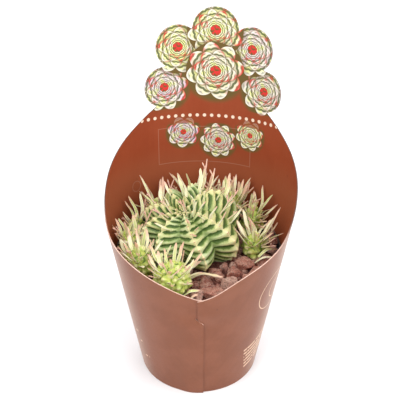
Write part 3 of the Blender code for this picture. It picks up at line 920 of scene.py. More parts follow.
@dataclass(frozen=True)
class BladeFlesh(Flesh):
    """Flesh of blades and stalks: green down the middle, cream at the edges, rosy towards the tip."""

    rosy: Colour = WHITE
    rosy_from: float = 0.6

    def coloured(self, g: Graph) -> Wire:
        """Colour along and across the blade.

        Args:
            g: The material's graph.

        Returns:
            The colour.
        """
        far, tone, side = g.stored("along"), g.stored("tone"), abs(g.stored("side"))
        streak = (g.noise(g.place, 0.8, 3.0) - 0.5) * 0.5 + side
        green = g.fall(streak, 0.1, 0.55) * g.rise(tone, 0.2, 0.9)
        base = g.blend(g.rise(tone, 0.3, 0.9), self.pale, self.cool)
        colour = g.blend(green * 0.55, base, self.margin)
        colour = g.blend(g.rise(side, 0.7, 0.95), colour, self.crest)
        start = g.math("FRACT", tone * 7.3) * 0.5 + (self.rosy_from - 0.25)
        colour = g.blend(g.rise(far - start, 0.0, 0.3) * 0.8, colour, self.rosy)
        return g.blend(g.rise(far, 0.94, 1.0, 0.0, 0.5), colour, SCAR)


@dataclass(frozen=True)
class FloorFinish(Finish):
    """The studio's floor: almost white, with soft patches."""

    def paint(self, g: Graph) -> dict[str, Given]:
        """The patches, dull.

        Args:
            g: The material's graph.

        Returns:
            The shader's inputs by name.
        """
        pale, paler = shade(248, 248, 248), shade(251, 251, 251)
        soft = soft_mottle(g, scale=0.02, softness=0.5, amount=0.5, first=paler, second=pale)
        return {"Base Color": soft, "Specular IOR Level": 0.1}


SCAR = shade(170, 118, 88)
CARD_OUTSIDE = MarkedCard(
    "card_outside", 0.46, ink=shade(125, 70, 43), worn=shade(136, 80, 54), speck=shade(84, 44, 32),
    pale=shade(226, 190, 158), grazed=shade(206, 178, 160), coat=0.15, coat_roughness=0.36, shine=0.25,
)
CARD_INSIDE = CrownCard(
    "card_inside", 0.56, ink=shade(144, 64, 35), worn=shade(151, 71, 42), speck=shade(98, 40, 26),
    pale=shade(238, 214, 190), low=shade(151, 82, 53), leaf=shade(232, 232, 158), tint=shade(226, 196, 226),
    stripe=shade(74, 88, 46), tip=shade(244, 238, 222), heart=shade(214, 54, 52), shadow=shade(104, 84, 44),
)
CARD_EDGE = CutEdge(
    "card_edge", 0.8, fibre=shade(226, 192, 174), ink=shade(190, 134, 110), browned=shade(70, 40, 32)
)
POT_PLASTIC = Plastic(
    "pot_plastic", 0.48, colour=shade(34, 34, 36), scuff=shade(62, 60, 58), dust=shade(140, 120, 104)
)
PEAT = Earth(
    "peat_soil", 0.95, dark=shade(36, 26, 20), fibre=shade(78, 56, 40), grain=shade(190, 178, 160)
)
LAVA = Lava(
    "lava_stone", 0.92, deep=shade(134, 64, 50), warm=shade(188, 112, 90), pink=shade(226, 178, 158),
    pit=shade(66, 26, 20), dust=shade(222, 190, 170),
)
# A darker copy of the lava for the bed and the crumbs: painted shade in the gaps between the stones.
LAVA_DARK = Lava(
    "lava_bed", 0.95, deep=shade(92, 40, 30), warm=shade(130, 64, 48), pink=shade(158, 98, 80),
    pit=shade(46, 20, 16), dust=shade(150, 98, 80),
)
MELON_FLESH = Flesh(
    "melon_flesh", 0.42, pale=shade(216, 212, 150), margin=shade(118, 144, 66), dark=shade(48, 80, 24),
    crest=shade(232, 220, 168), cool=shade(196, 208, 158),
)
SIDE_FLESH = TubercleFlesh(
    "offset_flesh", 0.38, pale=shade(200, 208, 108), margin=shade(112, 142, 46), dark=shade(88, 118, 42),
    crest=shade(232, 230, 164), cool=shade(178, 198, 96),
)
BLADE_FLESH = BladeFlesh(
    "blade_flesh", 0.42, pale=shade(246, 240, 198), margin=shade(160, 180, 92),
    crest=shade(252, 246, 218), cool=shade(226, 228, 160), rosy=shade(232, 176, 154), rosy_from=0.7,
)
STALK_FLESH = BladeFlesh(
    "stalk_flesh", 0.5, pale=shade(238, 222, 178), margin=shade(206, 196, 136),
    crest=shade(244, 230, 200), cool=shade(230, 206, 170), rosy=shade(226, 172, 158), rosy_from=0.55,
)
FLOOR = FloorFinish("studio_floor", 0.9)


# Geometry Nodes


class Shaper(Recipe):
    """A Geometry Nodes tree that is run on a mesh to give a plain piece."""

    def finish(self) -> None:
        """Builds the tree: what its function gives is made real and gets the material."""
        g, start, shape = self.build("GeometryNodeTree", "Geometry", "Material")
        self.socket("Geometry", "Geometry", "OUTPUT")
        real = g.node("GeometryNodeRealizeInstances", {0: shape})
        look = {"Geometry": g.node("GeometryNodeSetShadeSmooth", {0: real}), "Material": start["Material"]}
        g.node("NodeGroupOutput", {0: g.node("GeometryNodeSetMaterial", look)})

    def __call__(self, name: str, mesh: Mesh, finish: Look, **sizes: float) -> Piece:
        """Runs the tree on a mesh.

        Args:
            name: The piece's name.
            mesh: What the tree starts from.
            finish: The piece's material.
            sizes: Values of the inputs, by name.

        Returns:
            The piece, a plain mesh with no modifier.
        """
        if not self.sockets:
            self.finish()
        piece = piece_of(name, mesh)
        step = piece.modifiers.new(name, "NODES")
        step.node_group = self.tree
        for label, value in {"Material": finish, **sizes}.items():
            step[self.sockets[label]] = value
        return applied(piece, step)


@Shaper
def sweep(g: Graph, lines: Wire, sides: Given = 8, flatness: Given = 0.3, fold: Given = 0.3) -> Wire:
    """Blades and stalks: a folded section swept along each line, as wide as the line's reach says.

    Args:
        g: The tree's graph.
        lines: Lines with a reach on their points.
        sides: Points round the section.
        flatness: Thickness of the section, as a share of its width.
        fold: How far the sides of the section hang down.

    Returns:
        The swept solids.
    """
    curves = g.node("GeometryNodeMeshToCurve", {"Mesh": lines})
    upright = g.node("GeometryNodeSetCurveNormal", {"Curve": curves}, mode="Z_UP")
    ring = g.node("GeometryNodeCurvePrimitiveCircle", {"Resolution": sides, "Radius": 1.0})
    x, y, _ = g.split(g.position())
    section = g.shifted(g.kept(ring, "side", x), Position=g.joined(x, y * flatness - abs(x) * fold))
    inputs = {"Curve": upright, "Profile Curve": section, "Scale": g.named("reach"), "Fill Caps": True}
    return g.node("GeometryNodeCurveToMesh", inputs)


@Shaper
def scatter(
    g: Graph, points: Wire, level: Given = 2, flatness: Given = 0.75, unevenness: Given = 0.5,
    seed: Given = 3,
) -> Wire:
    """Small stones or crumbs: an uneven ball on every point, by the point's size and spin.

    Args:
        g: The tree's graph.
        points: Points with a size and a spin.
        level: How often the stones' faces are divided.
        flatness: Their height, as a share of their width.
        unevenness: How far they differ from balls.
        seed: Seed of their shapes.

    Returns:
        The stones.
    """
    join = g.node("GeometryNodeJoinGeometry")
    for variant in range(4):
        ball = g.node("GeometryNodeMeshIcoSphere", {"Radius": 1.0, "Subdivisions": level})
        away = seed * 7.0 + 19.0 * variant
        place = g.vector("ADD", g.position(), g.joined(away, away, away))
        swell = (g.noise(place, 1.1, 2.0) - 0.5) * unevenness
        uneven = g.shifted(ball, Offset=g.scaled(g.position(), swell * 2.0))
        flat = g.vector("MULTIPLY", g.position(), g.joined(1.0, 1.0, flatness))
        squashed = g.shifted(uneven, Position=flat)
        g.feed(join.node.inputs[0], g.node("GeometryNodeGeometryToInstance", {0: squashed}))
    turn = g.node("FunctionNodeEulerToRotation", {0: g.named("spin", "FLOAT_VECTOR")})
    return g.node("GeometryNodeInstanceOnPoints", {
        "Points": points, "Instance": join, "Pick Instance": True, "Rotation": turn,
        "Instance Index": g.node("GeometryNodeInputIndex"), "Scale": g.named("size"),
    })


@Shaper
def broken_rock(
    g: Graph, hulls: Wire, level: Given = 3, lumps: Given = 0.5 * MM, grain: Given = 0.15 * MM
) -> Wire:
    """Broken rock: flat-faced hulls whose faces are made rough.

    Args:
        g: The tree's graph.
        hulls: Closed hulls.
        level: How often their faces are divided.
        lumps: Height of the broad relief.
        grain: Height of the fine relief.

    Returns:
        The rough rock.
    """
    fine = g.node("GeometryNodeSubdivideMesh", {"Mesh": hulls, "Level": level})
    lump = g.noise(g.position(), 330.0, 2.0) - 0.5
    speck = g.noise(g.position(), 1300.0, 2.0, 0.7) - 0.5
    return g.raised(fine, (lump * lumps + speck * grain) * 2.0)


@Shaper
def rib_relief(
    g: Graph, body: Wire, pleat: Given = 0.65 * MM, cord: Given = 0.35 * MM, cord_width: Given = 0.05,
    scar: Given = 0.5 * MM, ripple: Given = 0.2 * MM,
) -> Wire:
    """Relief of a ribbed head: pleats between its bands, a cord along each crest and scars on the cord.

    Args:
        g: The tree's graph.
        body: The head's body.
        pleat: Depth of the pleats.
        cord: Height of the cord.
        cord_width: Its width, as a share of half a rib.
        scar: Height of the scars.
        ripple: Depth of the uneven skin.

    Returns:
        The head with its relief.
    """
    across = g.named("across")
    wave = g.math("COSINE", g.named("phase") * math.tau)
    height = wave * (1.0 - across**3.0) * pleat + g.fall(across, 0.0, cord_width) * cord
    peak = g.math("MAXIMUM", wave, 0.0) ** 6.0 * g.fall(across, 0.0, cord_width * 1.6)
    scarred = peak * g.rise(g.noise(g.position(), 140.0, 1.0), 0.4, 0.6)
    height = height + g.named("scar") * scar + (g.noise(g.position(), 260.0, 2.0) - 0.5) * ripple
    return g.raised(g.kept(body, "scar", scarred), height * g.named("fade"))


@Shaper
def tubercles(
    g: Graph, body: Wire, spacing: Given = 3.0 * MM, height: Given = 1.2 * MM, seed: Given = 4
) -> Wire:
    """Tubercles all over a head, an even distance apart, each swelling to a blunt tip.

    Args:
        g: The tree's graph.
        body: The head's body.
        spacing: Least distance between two tubercles.
        height: Their height.
        seed: Seed of their places.

    Returns:
        The head with its tubercles.
    """
    inputs = {"Mesh": body, "Distance Min": spacing, "Density Max": 2e6, "Seed": seed}
    points = g.node("GeometryNodeDistributePointsOnFaces", inputs, distribute_method="POISSON")
    near = g.node("GeometryNodeProximity", {0: points}, target_element="POINTS")
    share = near["Distance"] / (spacing * 0.72)
    dome = g.math("MAXIMUM", 1.0 - share * share, 0.0)
    tip = dome**0.8 * 0.65 + dome**6.0 * 0.35
    tone = g.node("ShaderNodeTexWhiteNoise", {"Vector": near["Position"]}, noise_dimensions="3D")
    kept = g.kept(g.kept(body, "tip", tip), "tone", tone)
    taller = g.math("FRACT", g.named("tone") * 5.7) * 0.9 + 0.55
    swell = g.named("tip") * taller + (g.noise(g.position(), 150.0, 2.0) - 0.5)
    return g.raised(kept, swell * height * g.named("fade"))


# Meshes and pieces


def mesh_of(name: str, bm: bmesh.types.BMesh) -> Mesh:
    """The mesh that a bmesh holds, with its faces turned outwards.

    Args:
        name: The mesh's name.
        bm: The bmesh, which is freed.

    Returns:
        The mesh.
    """
    bmesh.ops.recalc_face_normals(bm, faces=bm.faces)
    mesh = bpy.data.meshes.new(name)
    bm.to_mesh(mesh)
    bm.free()
    return mesh


def points_of(name: str, places: list[Vector], edges: list[tuple[int, int]], **values: list) -> Mesh:
    """A mesh of points and edges, with a number or a vector kept for each point.

    Args:
        name: The mesh's name.
        places: The points.
        edges: The points that each edge joins.
        values: The numbers or vectors of all points, by name.

    Returns:
        The mesh.
    """
    mesh = bpy.data.meshes.new(name)
    mesh.from_pydata(places, edges, [])
    for label, given in values.items():
        single = np.ndim(given) == 1
        store = mesh.attributes.new(label, "FLOAT" if single else "FLOAT_VECTOR", "POINT")
        store.data.foreach_set("value" if single else "vector", np.array(given, np.float32).ravel())
    return mesh


def piece_of(name: str, mesh: Mesh, *finishes: Look) -> Piece:
    """An object in the scene that shows a mesh.

    Args:
        name: The object's name.
        mesh: The mesh.
        finishes: The mesh's materials.

    Returns:
        The object.
    """
    piece = bpy.data.objects.new(name, mesh)
    for finish in finishes:
        mesh.materials.append(finish)
    bpy.context.scene.collection.objects.link(piece)
    return piece


def applied(piece: Piece, step: bpy.types.Modifier) -> Piece:
    """The piece with a modifier worked into its mesh and removed.

    Args:
        piece: The piece.
        step: Its modifier.

    Returns:
        The same piece.
    """
    graph = bpy.context.evaluated_depsgraph_get()
    mesh = bpy.data.meshes.new_from_object(piece.evaluated_get(graph))
    piece.modifiers.remove(step)
    piece.data = mesh
    return piece


def settle(piece: Piece, slot: str, *nodes: str) -> Piece:
    """Ties a finished piece to the frame.

    Args:
        piece: The piece.
        slot: Not used.
        nodes: The nodes that it stands for.

    Returns:
        The same piece.
    """
    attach(piece, BODY)
    if nodes:
        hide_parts(*nodes)
    LOG.info("%s: %d faces", piece.name, len(piece.data.polygons))
    return piece


def turned(name: str, profile: list[tuple[float, float]], segments: int) -> Mesh:
    """A solid turned round Z.

    Args:
        name: The mesh's name.
        profile: Closed outline of (radius, height).
        segments: Steps round the axis.

    Returns:
        The mesh.
    """
    bm = bmesh.new()
    points = [bm.verts.new((radius, 0, z)) for radius, z in profile]
    edges = [bm.edges.new(pair) for pair in zip(points, points[1:] + points[:1], strict=True)]
    bmesh.ops.spin(bm, geom=points + edges, axis=(0, 0, 1), angle=math.tau, steps=segments, use_merge=True)
    bmesh.ops.remove_doubles(bm, verts=bm.verts, dist=0.001 * MM)
    on_axis = [edge for edge in bm.edges if not edge.link_faces]
    bmesh.ops.delete(bm, geom=on_axis, context="EDGES")
    return mesh_of(name, bm)


# Card sleeve


class CardFace(Enum):
    """Sides of the card, in the order of the sleeve's materials."""

    OUTSIDE = 0
    INSIDE = 1
    EDGE = 2


@dataclass
class CardSleeve:
    """The card: drawn flat as it is cut, rolled into its cone, lapped and hooked at the front."""

    thickness: float = 0.6 * MM
    foot_radius: float = 37.5 * MM
    flare: float = 0.168
    foot_z: float = 0.3 * MM
    strip_deg: float = 1.5
    row: float = 5 * MM
    back_turn_deg: float = 9.5
    crown_z: float = 173 * MM
    crown_radius: float = 24 * MM
    lobe_step_deg: float = 1.5
    seam_turn_deg: float = 4.5
    lap_left: float = 2.4 * MM
    lap_right: float = 1.2 * MM
    lap_lift: float = 0.95 * MM
    lap_ramp_deg: float = 24
    lap_flat_deg: float = 6
    hook_z: float = 70 * MM
    hook_half: float = 2.4 * MM
    slit_right: float = 1.7 * MM
    slit_left: float = 2.6 * MM
    edge: Points = (
        (0, 88.5), (10, 92.5), (22, 98), (36, 103), (52, 106.5), (68, 109.5), (80, 114), (92, 122),
        (104, 130), (118, 138), (134, 146.5), (150, 156.5), (170, 170),
    )
    lobes: tuple[Triple, ...] = (
        (-104, 33.5, 13), (-54, 29, 14), (0, 27.5, 14.5), (54, 29, 14), (104, 33.5, 13),
    )

    def __post_init__(self) -> None:
        """Works out the cone."""
        self.cos = 1 / math.hypot(1, self.flare)
        self.sin = self.flare * self.cos
        self.foot_middle = self.foot_radius - self.thickness / 2
        self.tip_z = -self.foot_middle / self.flare
        self.middle = self.flat(self.back_turn_deg, self.crown_z)
        self.circles = [(Vector((0, 0)), self.crown_radius)]
        for angle, reach, radius in self.lobes:
            self.circles.append((spun(reach * MM, math.radians(angle)).xy, radius * MM))

    def radius(self, z: float) -> float:
        """Radius of the card's middle layer at a height."""
        return self.foot_middle + self.flare * z

    def inside(self, z: float) -> float:
        """Inner radius of the sleeve at a height."""
        return self.foot_radius - self.thickness / self.cos + self.flare * z

    def flat(self, turn_deg: float, z: float) -> Vector:
        """Point of the flat card that rolls to this turn from opposite the seam and this height."""
        return spun((z - self.tip_z) / self.cos, math.radians(turn_deg) * self.sin).xy

    def brim_z(self, angle: float) -> float:
        """Height of the card's edge at an angle from the seam."""
        return through(self.edge, angle) * MM

    def lift(self, turn_deg: float, z: float) -> float:
        """How far the card stands out where one end lies over the other.

        Args:
            turn_deg: Turn from opposite the seam.
            z: The height.

        Returns:
            The distance.
        """
        beside = 180 - abs(turn_deg)
        near = smooth_step((self.lap_ramp_deg - beside) / (self.lap_ramp_deg - self.lap_flat_deg))
        above = smooth_step((z - self.hook_z + self.hook_half) / (2 * self.hook_half))
        return self.lap_lift * near * (above if turn_deg > 0 else 1 - above)

    def rolled(self, point: Vector) -> Vector:
        """Where a point of the flat card's middle layer lies once it is rolled.

        Args:
            point: A point of the flat card.

        Returns:
            The point of the cone.
        """
        turn = math.degrees(math.atan2(point.x, point.y) / self.sin)
        z = self.tip_z + point.length * self.cos
        return spun(self.radius(z) + self.lift(turn, z), math.radians(turn - self.seam_turn_deg), z)

    def free_edge(self, side: int, past: float) -> list[Vector]:
        """One end of the card, from foot to brim, with its half of the hook.

        Args:
            side: 1 for the end at the right of the seam, -1 for the left one.
            past: How far it runs over the seam.

        Returns:
            Points of the flat card.
        """
        low, high = self.hook_z - self.hook_half, self.hook_z + self.hook_half
        slit = (low, -self.slit_right) if side > 0 else (high, -self.slit_left)
        levels = [(self.foot_z, past), (low, past), slit, (high, past), (self.brim_z(0), past)]
        return [self.flat(side * (180 + math.degrees(over / self.radius(z))), z) for z, over in levels]

    def crown_reach(self, angle: float) -> float:
        """How far the crown's outline lies from its middle.

        Args:
            angle: Angle from the top, in radians.

        Returns:
            The distance.
        """
        heading = spun(1, angle).xy
        reaches = []
        for offset, radius in self.circles:
            forward = heading.dot(offset)
            inside = forward * forward - offset.length_squared + radius * radius
            if inside >= 0:
                reaches.append(forward + math.sqrt(inside))
        return max(reaches)

    def brim(self, side: int) -> tuple[list[Vector], Vector]:
        """The brim on one side, from the front until it runs into the crown.

        Args:
            side: 1 for the right side, -1 for the left one.

        Returns:
            Its points, and the next point, which lies in the crown.
        """
        points = []
        angle = self.strip_deg
        while True:
            shift = side * self.back_turn_deg * smooth_step(angle / 60)
            point = self.flat(side * (180 - angle), self.brim_z(angle + shift))
            if any((point - self.middle - offset).length < radius for offset, radius in self.circles):
                return points, point
            points.append(point)
            angle += self.strip_deg

    def outline(self) -> list[Vector]:
        """The flat card's outline, anticlockwise from the left end of its foot.

        Returns:
            Its points.
        """
        right_brim, right_end = self.brim(1)
        left_brim, left_end = self.brim(-1)
        first, last = (math.atan2(*(end - self.middle)) for end in (right_end, left_end))
        steps = round(math.degrees(first - last) / self.lobe_step_deg)
        crown = []
        for k in range(steps + 1):
            turn = first + (last - first) * k / steps
            crown.append(self.middle + spun(self.crown_reach(turn), turn).xy)
        half = round(180 / self.strip_deg)
        foot = [self.flat(self.strip_deg * k, self.foot_z) for k in range(-half, half + 1)]
        ends = self.free_edge(1, self.lap_right), self.free_edge(-1, self.lap_left)
        return foot + ends[0] + right_brim + crown + left_brim[::-1] + ends[1][::-1]

    def grid(self) -> list[Vector]:
        """Points of the flat card at which it bends. Those outside its outline fall away later.

        Returns:
            The points.
        """
        half = round(180 / self.strip_deg)
        rows = int((self.crown_z + self.crown_radius * 2) / self.row)
        turns = [self.strip_deg * k for k in range(-half, half + 1)]
        return [self.flat(turn, self.row * (j + 0.5)) for turn in turns for j in range(rows)]

    def sheet(self) -> Mesh:
        """The rolled card as a sheet without thickness, facing out, with the place on the flat card kept.

        Returns:
            The mesh.
        """
        outline = self.outline()
        count = len(outline)
        edges = [(k, (k + 1) % count) for k in range(count)]
        flat, _, faces, *_ = delaunay_2d_cdt(outline + self.grid(), edges, [], 1, 0.001 * MM)
        bm = bmesh.new()
        layer = bm.verts.layers.float_vector.new("flat")
        verts = []
        for point in flat:
            vert = bm.verts.new(self.rolled(point))
            vert[layer] = (*((point - self.middle) / MM), 0.0)
            verts.append(vert)
        for face in faces:
            bm.faces.new([verts[k] for k in reversed(face)])
        bmesh.ops.delete(bm, geom=[v for v in bm.verts if not v.link_faces], context="VERTS")
        bmesh.ops.remove_doubles(bm, verts=bm.verts, dist=0.08 * MM)
        mesh = bpy.data.meshes.new("card_sleeve")
        bm.to_mesh(mesh)
        bm.free()
        return mesh

    def build(self) -> Piece:
        """Builds the sleeve with its thickness, and gives each side of the card its print.

        Returns:
            The piece.
        """
        finishes = [CARD_OUTSIDE.material(), CARD_INSIDE.material(), CARD_EDGE.material()]
        piece = piece_of("card_sleeve", self.sheet(), *finishes)
        shell = piece.modifiers.new("card", "SOLIDIFY")
        shell.thickness = self.thickness
        shell.offset = 0
        shell.use_even_offset = True
        shell.material_offset = CardFace.INSIDE.value
        shell.material_offset_rim = CardFace.EDGE.value
        solid = applied(piece, shell).data
        solid.shade_smooth()
        solid.set_sharp_from_angle(angle=math.radians(35))
        return settle(piece, "card", "sleeve")


# Pot and soil


@dataclass
class NurseryPot:
    """The pot: floor with drain holes, flared wall, and a wider band under a rolled lip."""

    card: CardSleeve
    height: float = 86 * MM
    base_radius: float = 35.5 * MM
    wall: float = 1.0 * MM
    floor: float = 1.4 * MM
    rim_band: float = 9 * MM
    rim_step: float = 0.7 * MM
    drains: int = 6
    drain_radius: float = 3.5 * MM
    drain_circle: float = 22 * MM
    segments: int = 120
    rounding: float = 0.4 * MM

    def wall_radius(self, z: float) -> float:
        """Outer radius of the wall below the rim band.

        Args:
            z: The height.

        Returns:
            The radius.
        """
        ledge = self.height - self.rim_band
        top = self.card.inside(ledge) - CLEARANCE - self.rim_step
        return self.base_radius + (top - self.base_radius) * z / ledge

    def profile(self) -> list[tuple[float, float]]:
        """The turned outline, as (radius, height).

        Returns:
            Its points.
        """
        ledge = self.height - self.rim_band
        rim_low, rim_high = (self.card.inside(z) - CLEARANCE for z in (ledge, self.height))
        inner = ledge + self.wall
        soft = self.rounding
        foot = self.base_radius
        return [
            (0, 0), (foot - soft, 0), (foot - 0.3 * soft, 0.3 * soft), (self.wall_radius(soft), soft),
            (self.wall_radius(ledge - 2 * soft), ledge - 2 * soft), (self.wall_radius(ledge), ledge),
            (rim_low - soft / 2, ledge), (rim_low, ledge + soft / 2), (rim_high, self.height - soft),
            (rim_high - soft / 2, self.height - soft / 8), (rim_high - self.wall / 2, self.height),
            (rim_high - self.wall + soft / 4, self.height - soft / 8),
            (rim_high - self.wall, self.height - soft),
            (self.card.inside(inner) - CLEARANCE - self.wall, inner),
            (self.wall_radius(inner) - self.wall, inner),
            (self.wall_radius(inner) - self.wall, inner - soft),
            (self.wall_radius(self.floor) - self.wall, self.floor + soft),
            (self.wall_radius(self.floor) - self.wall - soft, self.floor), (0, self.floor),
        ]

    def build(self) -> Piece:
        """Turns the pot and cuts its drain holes.

        Returns:
            The piece.
        """
        wall = turned("nursery_pot", self.profile(), self.segments)
        piece = piece_of("nursery_pot", wall, POT_PLASTIC.material())
        bm = bmesh.new()
        for k in range(self.drains):
            place = spun(self.drain_circle, math.tau * k / self.drains)
            bmesh.ops.create_cone(
                bm, cap_ends=True, segments=28, radius1=self.drain_radius, radius2=self.drain_radius,
                depth=4 * self.floor, matrix=Matrix.Translation(place),
            )
        cutter = piece_of("drains", mesh_of("drains", bm))
        step = piece.modifiers.new("drains", "BOOLEAN")
        step.operation = "DIFFERENCE"
        step.object = cutter
        holed = applied(piece, step).data
        bpy.data.objects.remove(cutter)
        holed.shade_smooth()
        holed.set_sharp_from_angle(angle=math.radians(50))
        return settle(piece, "pot_plastic", "pot")


def dress_soil() -> None:
    """Gives the soil of the frame its finish."""
    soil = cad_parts["soil"]
    soil.data.materials.clear()
    soil.data.materials.append(PEAT.material())
    LOG.info("soil: dressed")


# Heads


GROUND = 83.5 * MM
GRAVEL_TOP = 82 * MM
PLUG_FLOOR = 72 * MM
PLUG_SHARE = 0.6
COLLAR_SHARE = 0.75
CORE_LEVEL = 0.42
BAND_PITCH = 4.8 * MM
MELON_PROFILE = (
    (0.0, 0.86), (0.08, 0.88), (0.2, 0.945), (0.36, 0.995), (0.55, 0.985), (0.75, 0.87), (0.91, 0.68),
    (1.0, 0.44), (0.96, 0.2), (0.84, 0.04), (0.68, -0.08), (0.6, -0.16),
)
DOME_PROFILE = (
    (0.0, 1.0), (0.1, 0.99), (0.26, 0.965), (0.45, 0.9), (0.64, 0.79), (0.82, 0.63), (0.95, 0.44),
    (1.0, 0.25), (0.95, 0.08), (0.82, -0.04), (0.68, -0.12), (0.6, -0.18),
)
# Places across half a rib, from its crest to the valley, in the placing bodies and in the fine ones
MELON_STEPS = (0.0, 0.5, 1.0)
SIDE_STEPS = (0.0, 1.0)
FINE_MELON_STEPS = (0.0, 0.02, 0.05, 0.09, 0.15, 0.23, 0.33, 0.45, 0.58, 0.71, 0.83, 0.93, 1.0)
FINE_SIDE_STEPS = (0.0, 0.16, 0.33, 0.5, 0.67, 0.84, 1.0)


@dataclass(frozen=True)
class Head:
    """One ribbed head: where it stands, its size, its lean and what it carries."""

    name: str
    x: float
    y: float
    radius: float
    height: float
    profile: Points
    crests: tuple[float, ...]
    lean_deg: float
    lean_towards_deg: float
    blades: int
    stalks: int
    lengths: tuple[float, float]
    polar: tuple[float, float]
    rings: int
    steps: tuple[float, ...]
    relief: float
    valley_depth: float = 0.22
    valley_shape: float = 1.6
    slant: float = 0.07

    @property
    def core(self) -> Vector:
        """The point from which the head swells."""
        return self.leaned(Vector((0, 0, CORE_LEVEL * self.height)))

    def crest(self, t: float) -> tuple[float, float]:
        """(share of radius, share of height) of a crest, from t = 0 at the crown to 1 at the plug.

        Args:
            t: Place down the profile.

        Returns:
            The two shares.
        """
        last = len(self.profile) - 1
        radii = tuple((k / last, point[0]) for k, point in enumerate(self.profile))
        heights = tuple((k / last, point[1]) for k, point in enumerate(self.profile))
        return through(radii, t), through(heights, t)

    def leaned(self, point: Vector) -> Vector:
        """A point of the upright head in its place, bent over by the head's lean.

        Args:
            point: The point.

        Returns:
            Where the point comes to.
        """
        amount = math.radians(self.lean_deg) * smooth_step(point.z / self.height)
        towards = math.radians(self.lean_towards_deg)
        axis = Vector((math.cos(towards), math.sin(towards), 0))
        return Matrix.Rotation(amount, 3, axis) @ point + Vector((self.x, self.y, GROUND))

    def surface(self, t: float, turn_deg: float, across: float) -> Vector:
        """A point of the head's surface.

        Args:
            t: Place down the profile, 0 at the crown and 1 at the plug.
            turn_deg: Azimuth from the front towards +X.
            across: Place across the rib, 0 at its crest and 1 in a valley.

        Returns:
            The point.
        """
        slant = self.slant * between(t, 0.1, 0.1)
        radius, height = self.crest(min(t + slant * across, 1.0))
        scale = 1 - self.valley_depth * between(t, 0.16, 0.22) * across**self.valley_shape
        radius *= self.radius * scale
        height = CORE_LEVEL + (height - CORE_LEVEL) * scale
        turn = math.radians(turn_deg)
        return self.leaned(spun(radius, math.pi - turn, self.height * height))

    def columns(self, steps: tuple[float, ...]) -> list[tuple[float, float]]:
        """The columns of points round the head.

        Args:
            steps: Places across half a rib.

        Returns:
            The azimuth and the place across the rib of each.
        """
        made = []
        crests = list(self.crests) + [self.crests[0] + 360]
        for first, second in zip(crests, crests[1:], strict=False):
            span = second - first
            made += [(first + span * step / 2, step) for step in steps]
            made += [(first + span * (1 - step / 2), step) for step in steps[-2:0:-1]]
        return made

    def body(self, rings: int, steps: tuple[float, ...], relief: float) -> bmesh.types.BMesh:
        """The head's body down to the foot of its plug.

        Args:
            rings: Rings of points from the crown to the plug.
            steps: Places across half a rib.
            relief: Depth of the pleats between the bands.

        Returns:
            The closed body, with the band phase, the place across the rib and a fade kept on its points.
        """
        bm = bmesh.new()
        layers = [bm.verts.layers.float.new(name) for name in ("phase", "across", "fade")]
        columns = self.columns(steps)
        core = self.core

        def point_at(place: Vector, *values: float) -> bmesh.types.BMVert:
            """A new point with its values.

            Args:
                place: Where it lies.
                values: Its band phase, place across the rib and fade.

            Returns:
                The point.
            """
            vert = bm.verts.new(place)
            for layer, value in zip(layers, values, strict=True):
                vert[layer] = value
            return vert

        apex = point_at(self.surface(0, 0, 0), 0.0, 0.0, 0.0)
        levels = []
        down = 0.0
        for k in range(1, rings + 1):
            t = k / rings
            phase = t * self.rings / 2
            down += (self.surface(t, 0, 0) - self.surface(t - 1 / rings, 0, 0)).length / BAND_PITCH
            pleat = relief * math.cos(math.tau * phase) * between(t, 0.2, 0.3)
            fade = between(t, 0.1, 0.12)
            ring = []
            for turn, across in columns:
                place = self.surface(t, turn, across)
                place += pleat * (1 - across) * (place - core).normalized()
                ring.append(point_at(place, down, across, fade))
            levels.append(ring)
        foot = []
        for turn, across in columns:
            place = spun(PLUG_SHARE * self.radius, math.pi - math.radians(turn), PLUG_FLOOR + CLEARANCE)
            foot.append(point_at(place + Vector((self.x, self.y, 0)), down, across, 0.0))
        levels.append(foot)
        for upper, lower in zip(levels, levels[1:], strict=False):
            for k in range(len(columns)):
                after = (k + 1) % len(columns)
                bm.faces.new((upper[k], lower[k], lower[after], upper[after]))
        for k in range(len(columns)):
            bm.faces.new((apex, levels[0][k], levels[0][(k + 1) % len(columns)]))
        bm.faces.new(foot)
        return bm


MELON = Head(
    name="melon_head", x=-3 * MM, y=7.5 * MM, radius=32.5 * MM, height=33 * MM, profile=MELON_PROFILE,
    crests=(17, 57, 128, 168, 205, 250, 288, 324), lean_deg=17, lean_towards_deg=-55, blades=12, stalks=9,
    lengths=(8 * MM, 14 * MM), polar=(24, 66), rings=20, steps=MELON_STEPS, relief=0.4 * MM,
)


SIDE_RIBS = 7


def side_head(name: str, numbers: tuple[int, int], sizes: tuple[float, ...]) -> Head:
    """A small head in the ring round the large one, leaning a little outwards.

    Args:
        name: The head's name.
        numbers: How many blades and how many stalks it carries.
        sizes: Its place to the right and to the back, its radius, its height, and the length of its
            shortest and its longest blade, in millimetres.

    Returns:
        The head.
    """
    x, y, radius, height, shortest, longest = (size * MM for size in sizes)
    outwards = math.degrees(math.atan2(sizes[0], -sizes[1]))
    crests = tuple(outwards + 360 * k / SIDE_RIBS for k in range(SIDE_RIBS))
    return Head(
        name=name, x=x, y=y, radius=radius, height=height, profile=DOME_PROFILE, crests=crests,
        lean_deg=3, lean_towards_deg=outwards, blades=numbers[0], stalks=numbers[1],
        lengths=(shortest, longest), polar=(12, 84), rings=8, steps=SIDE_STEPS, relief=0.2 * MM,
    )


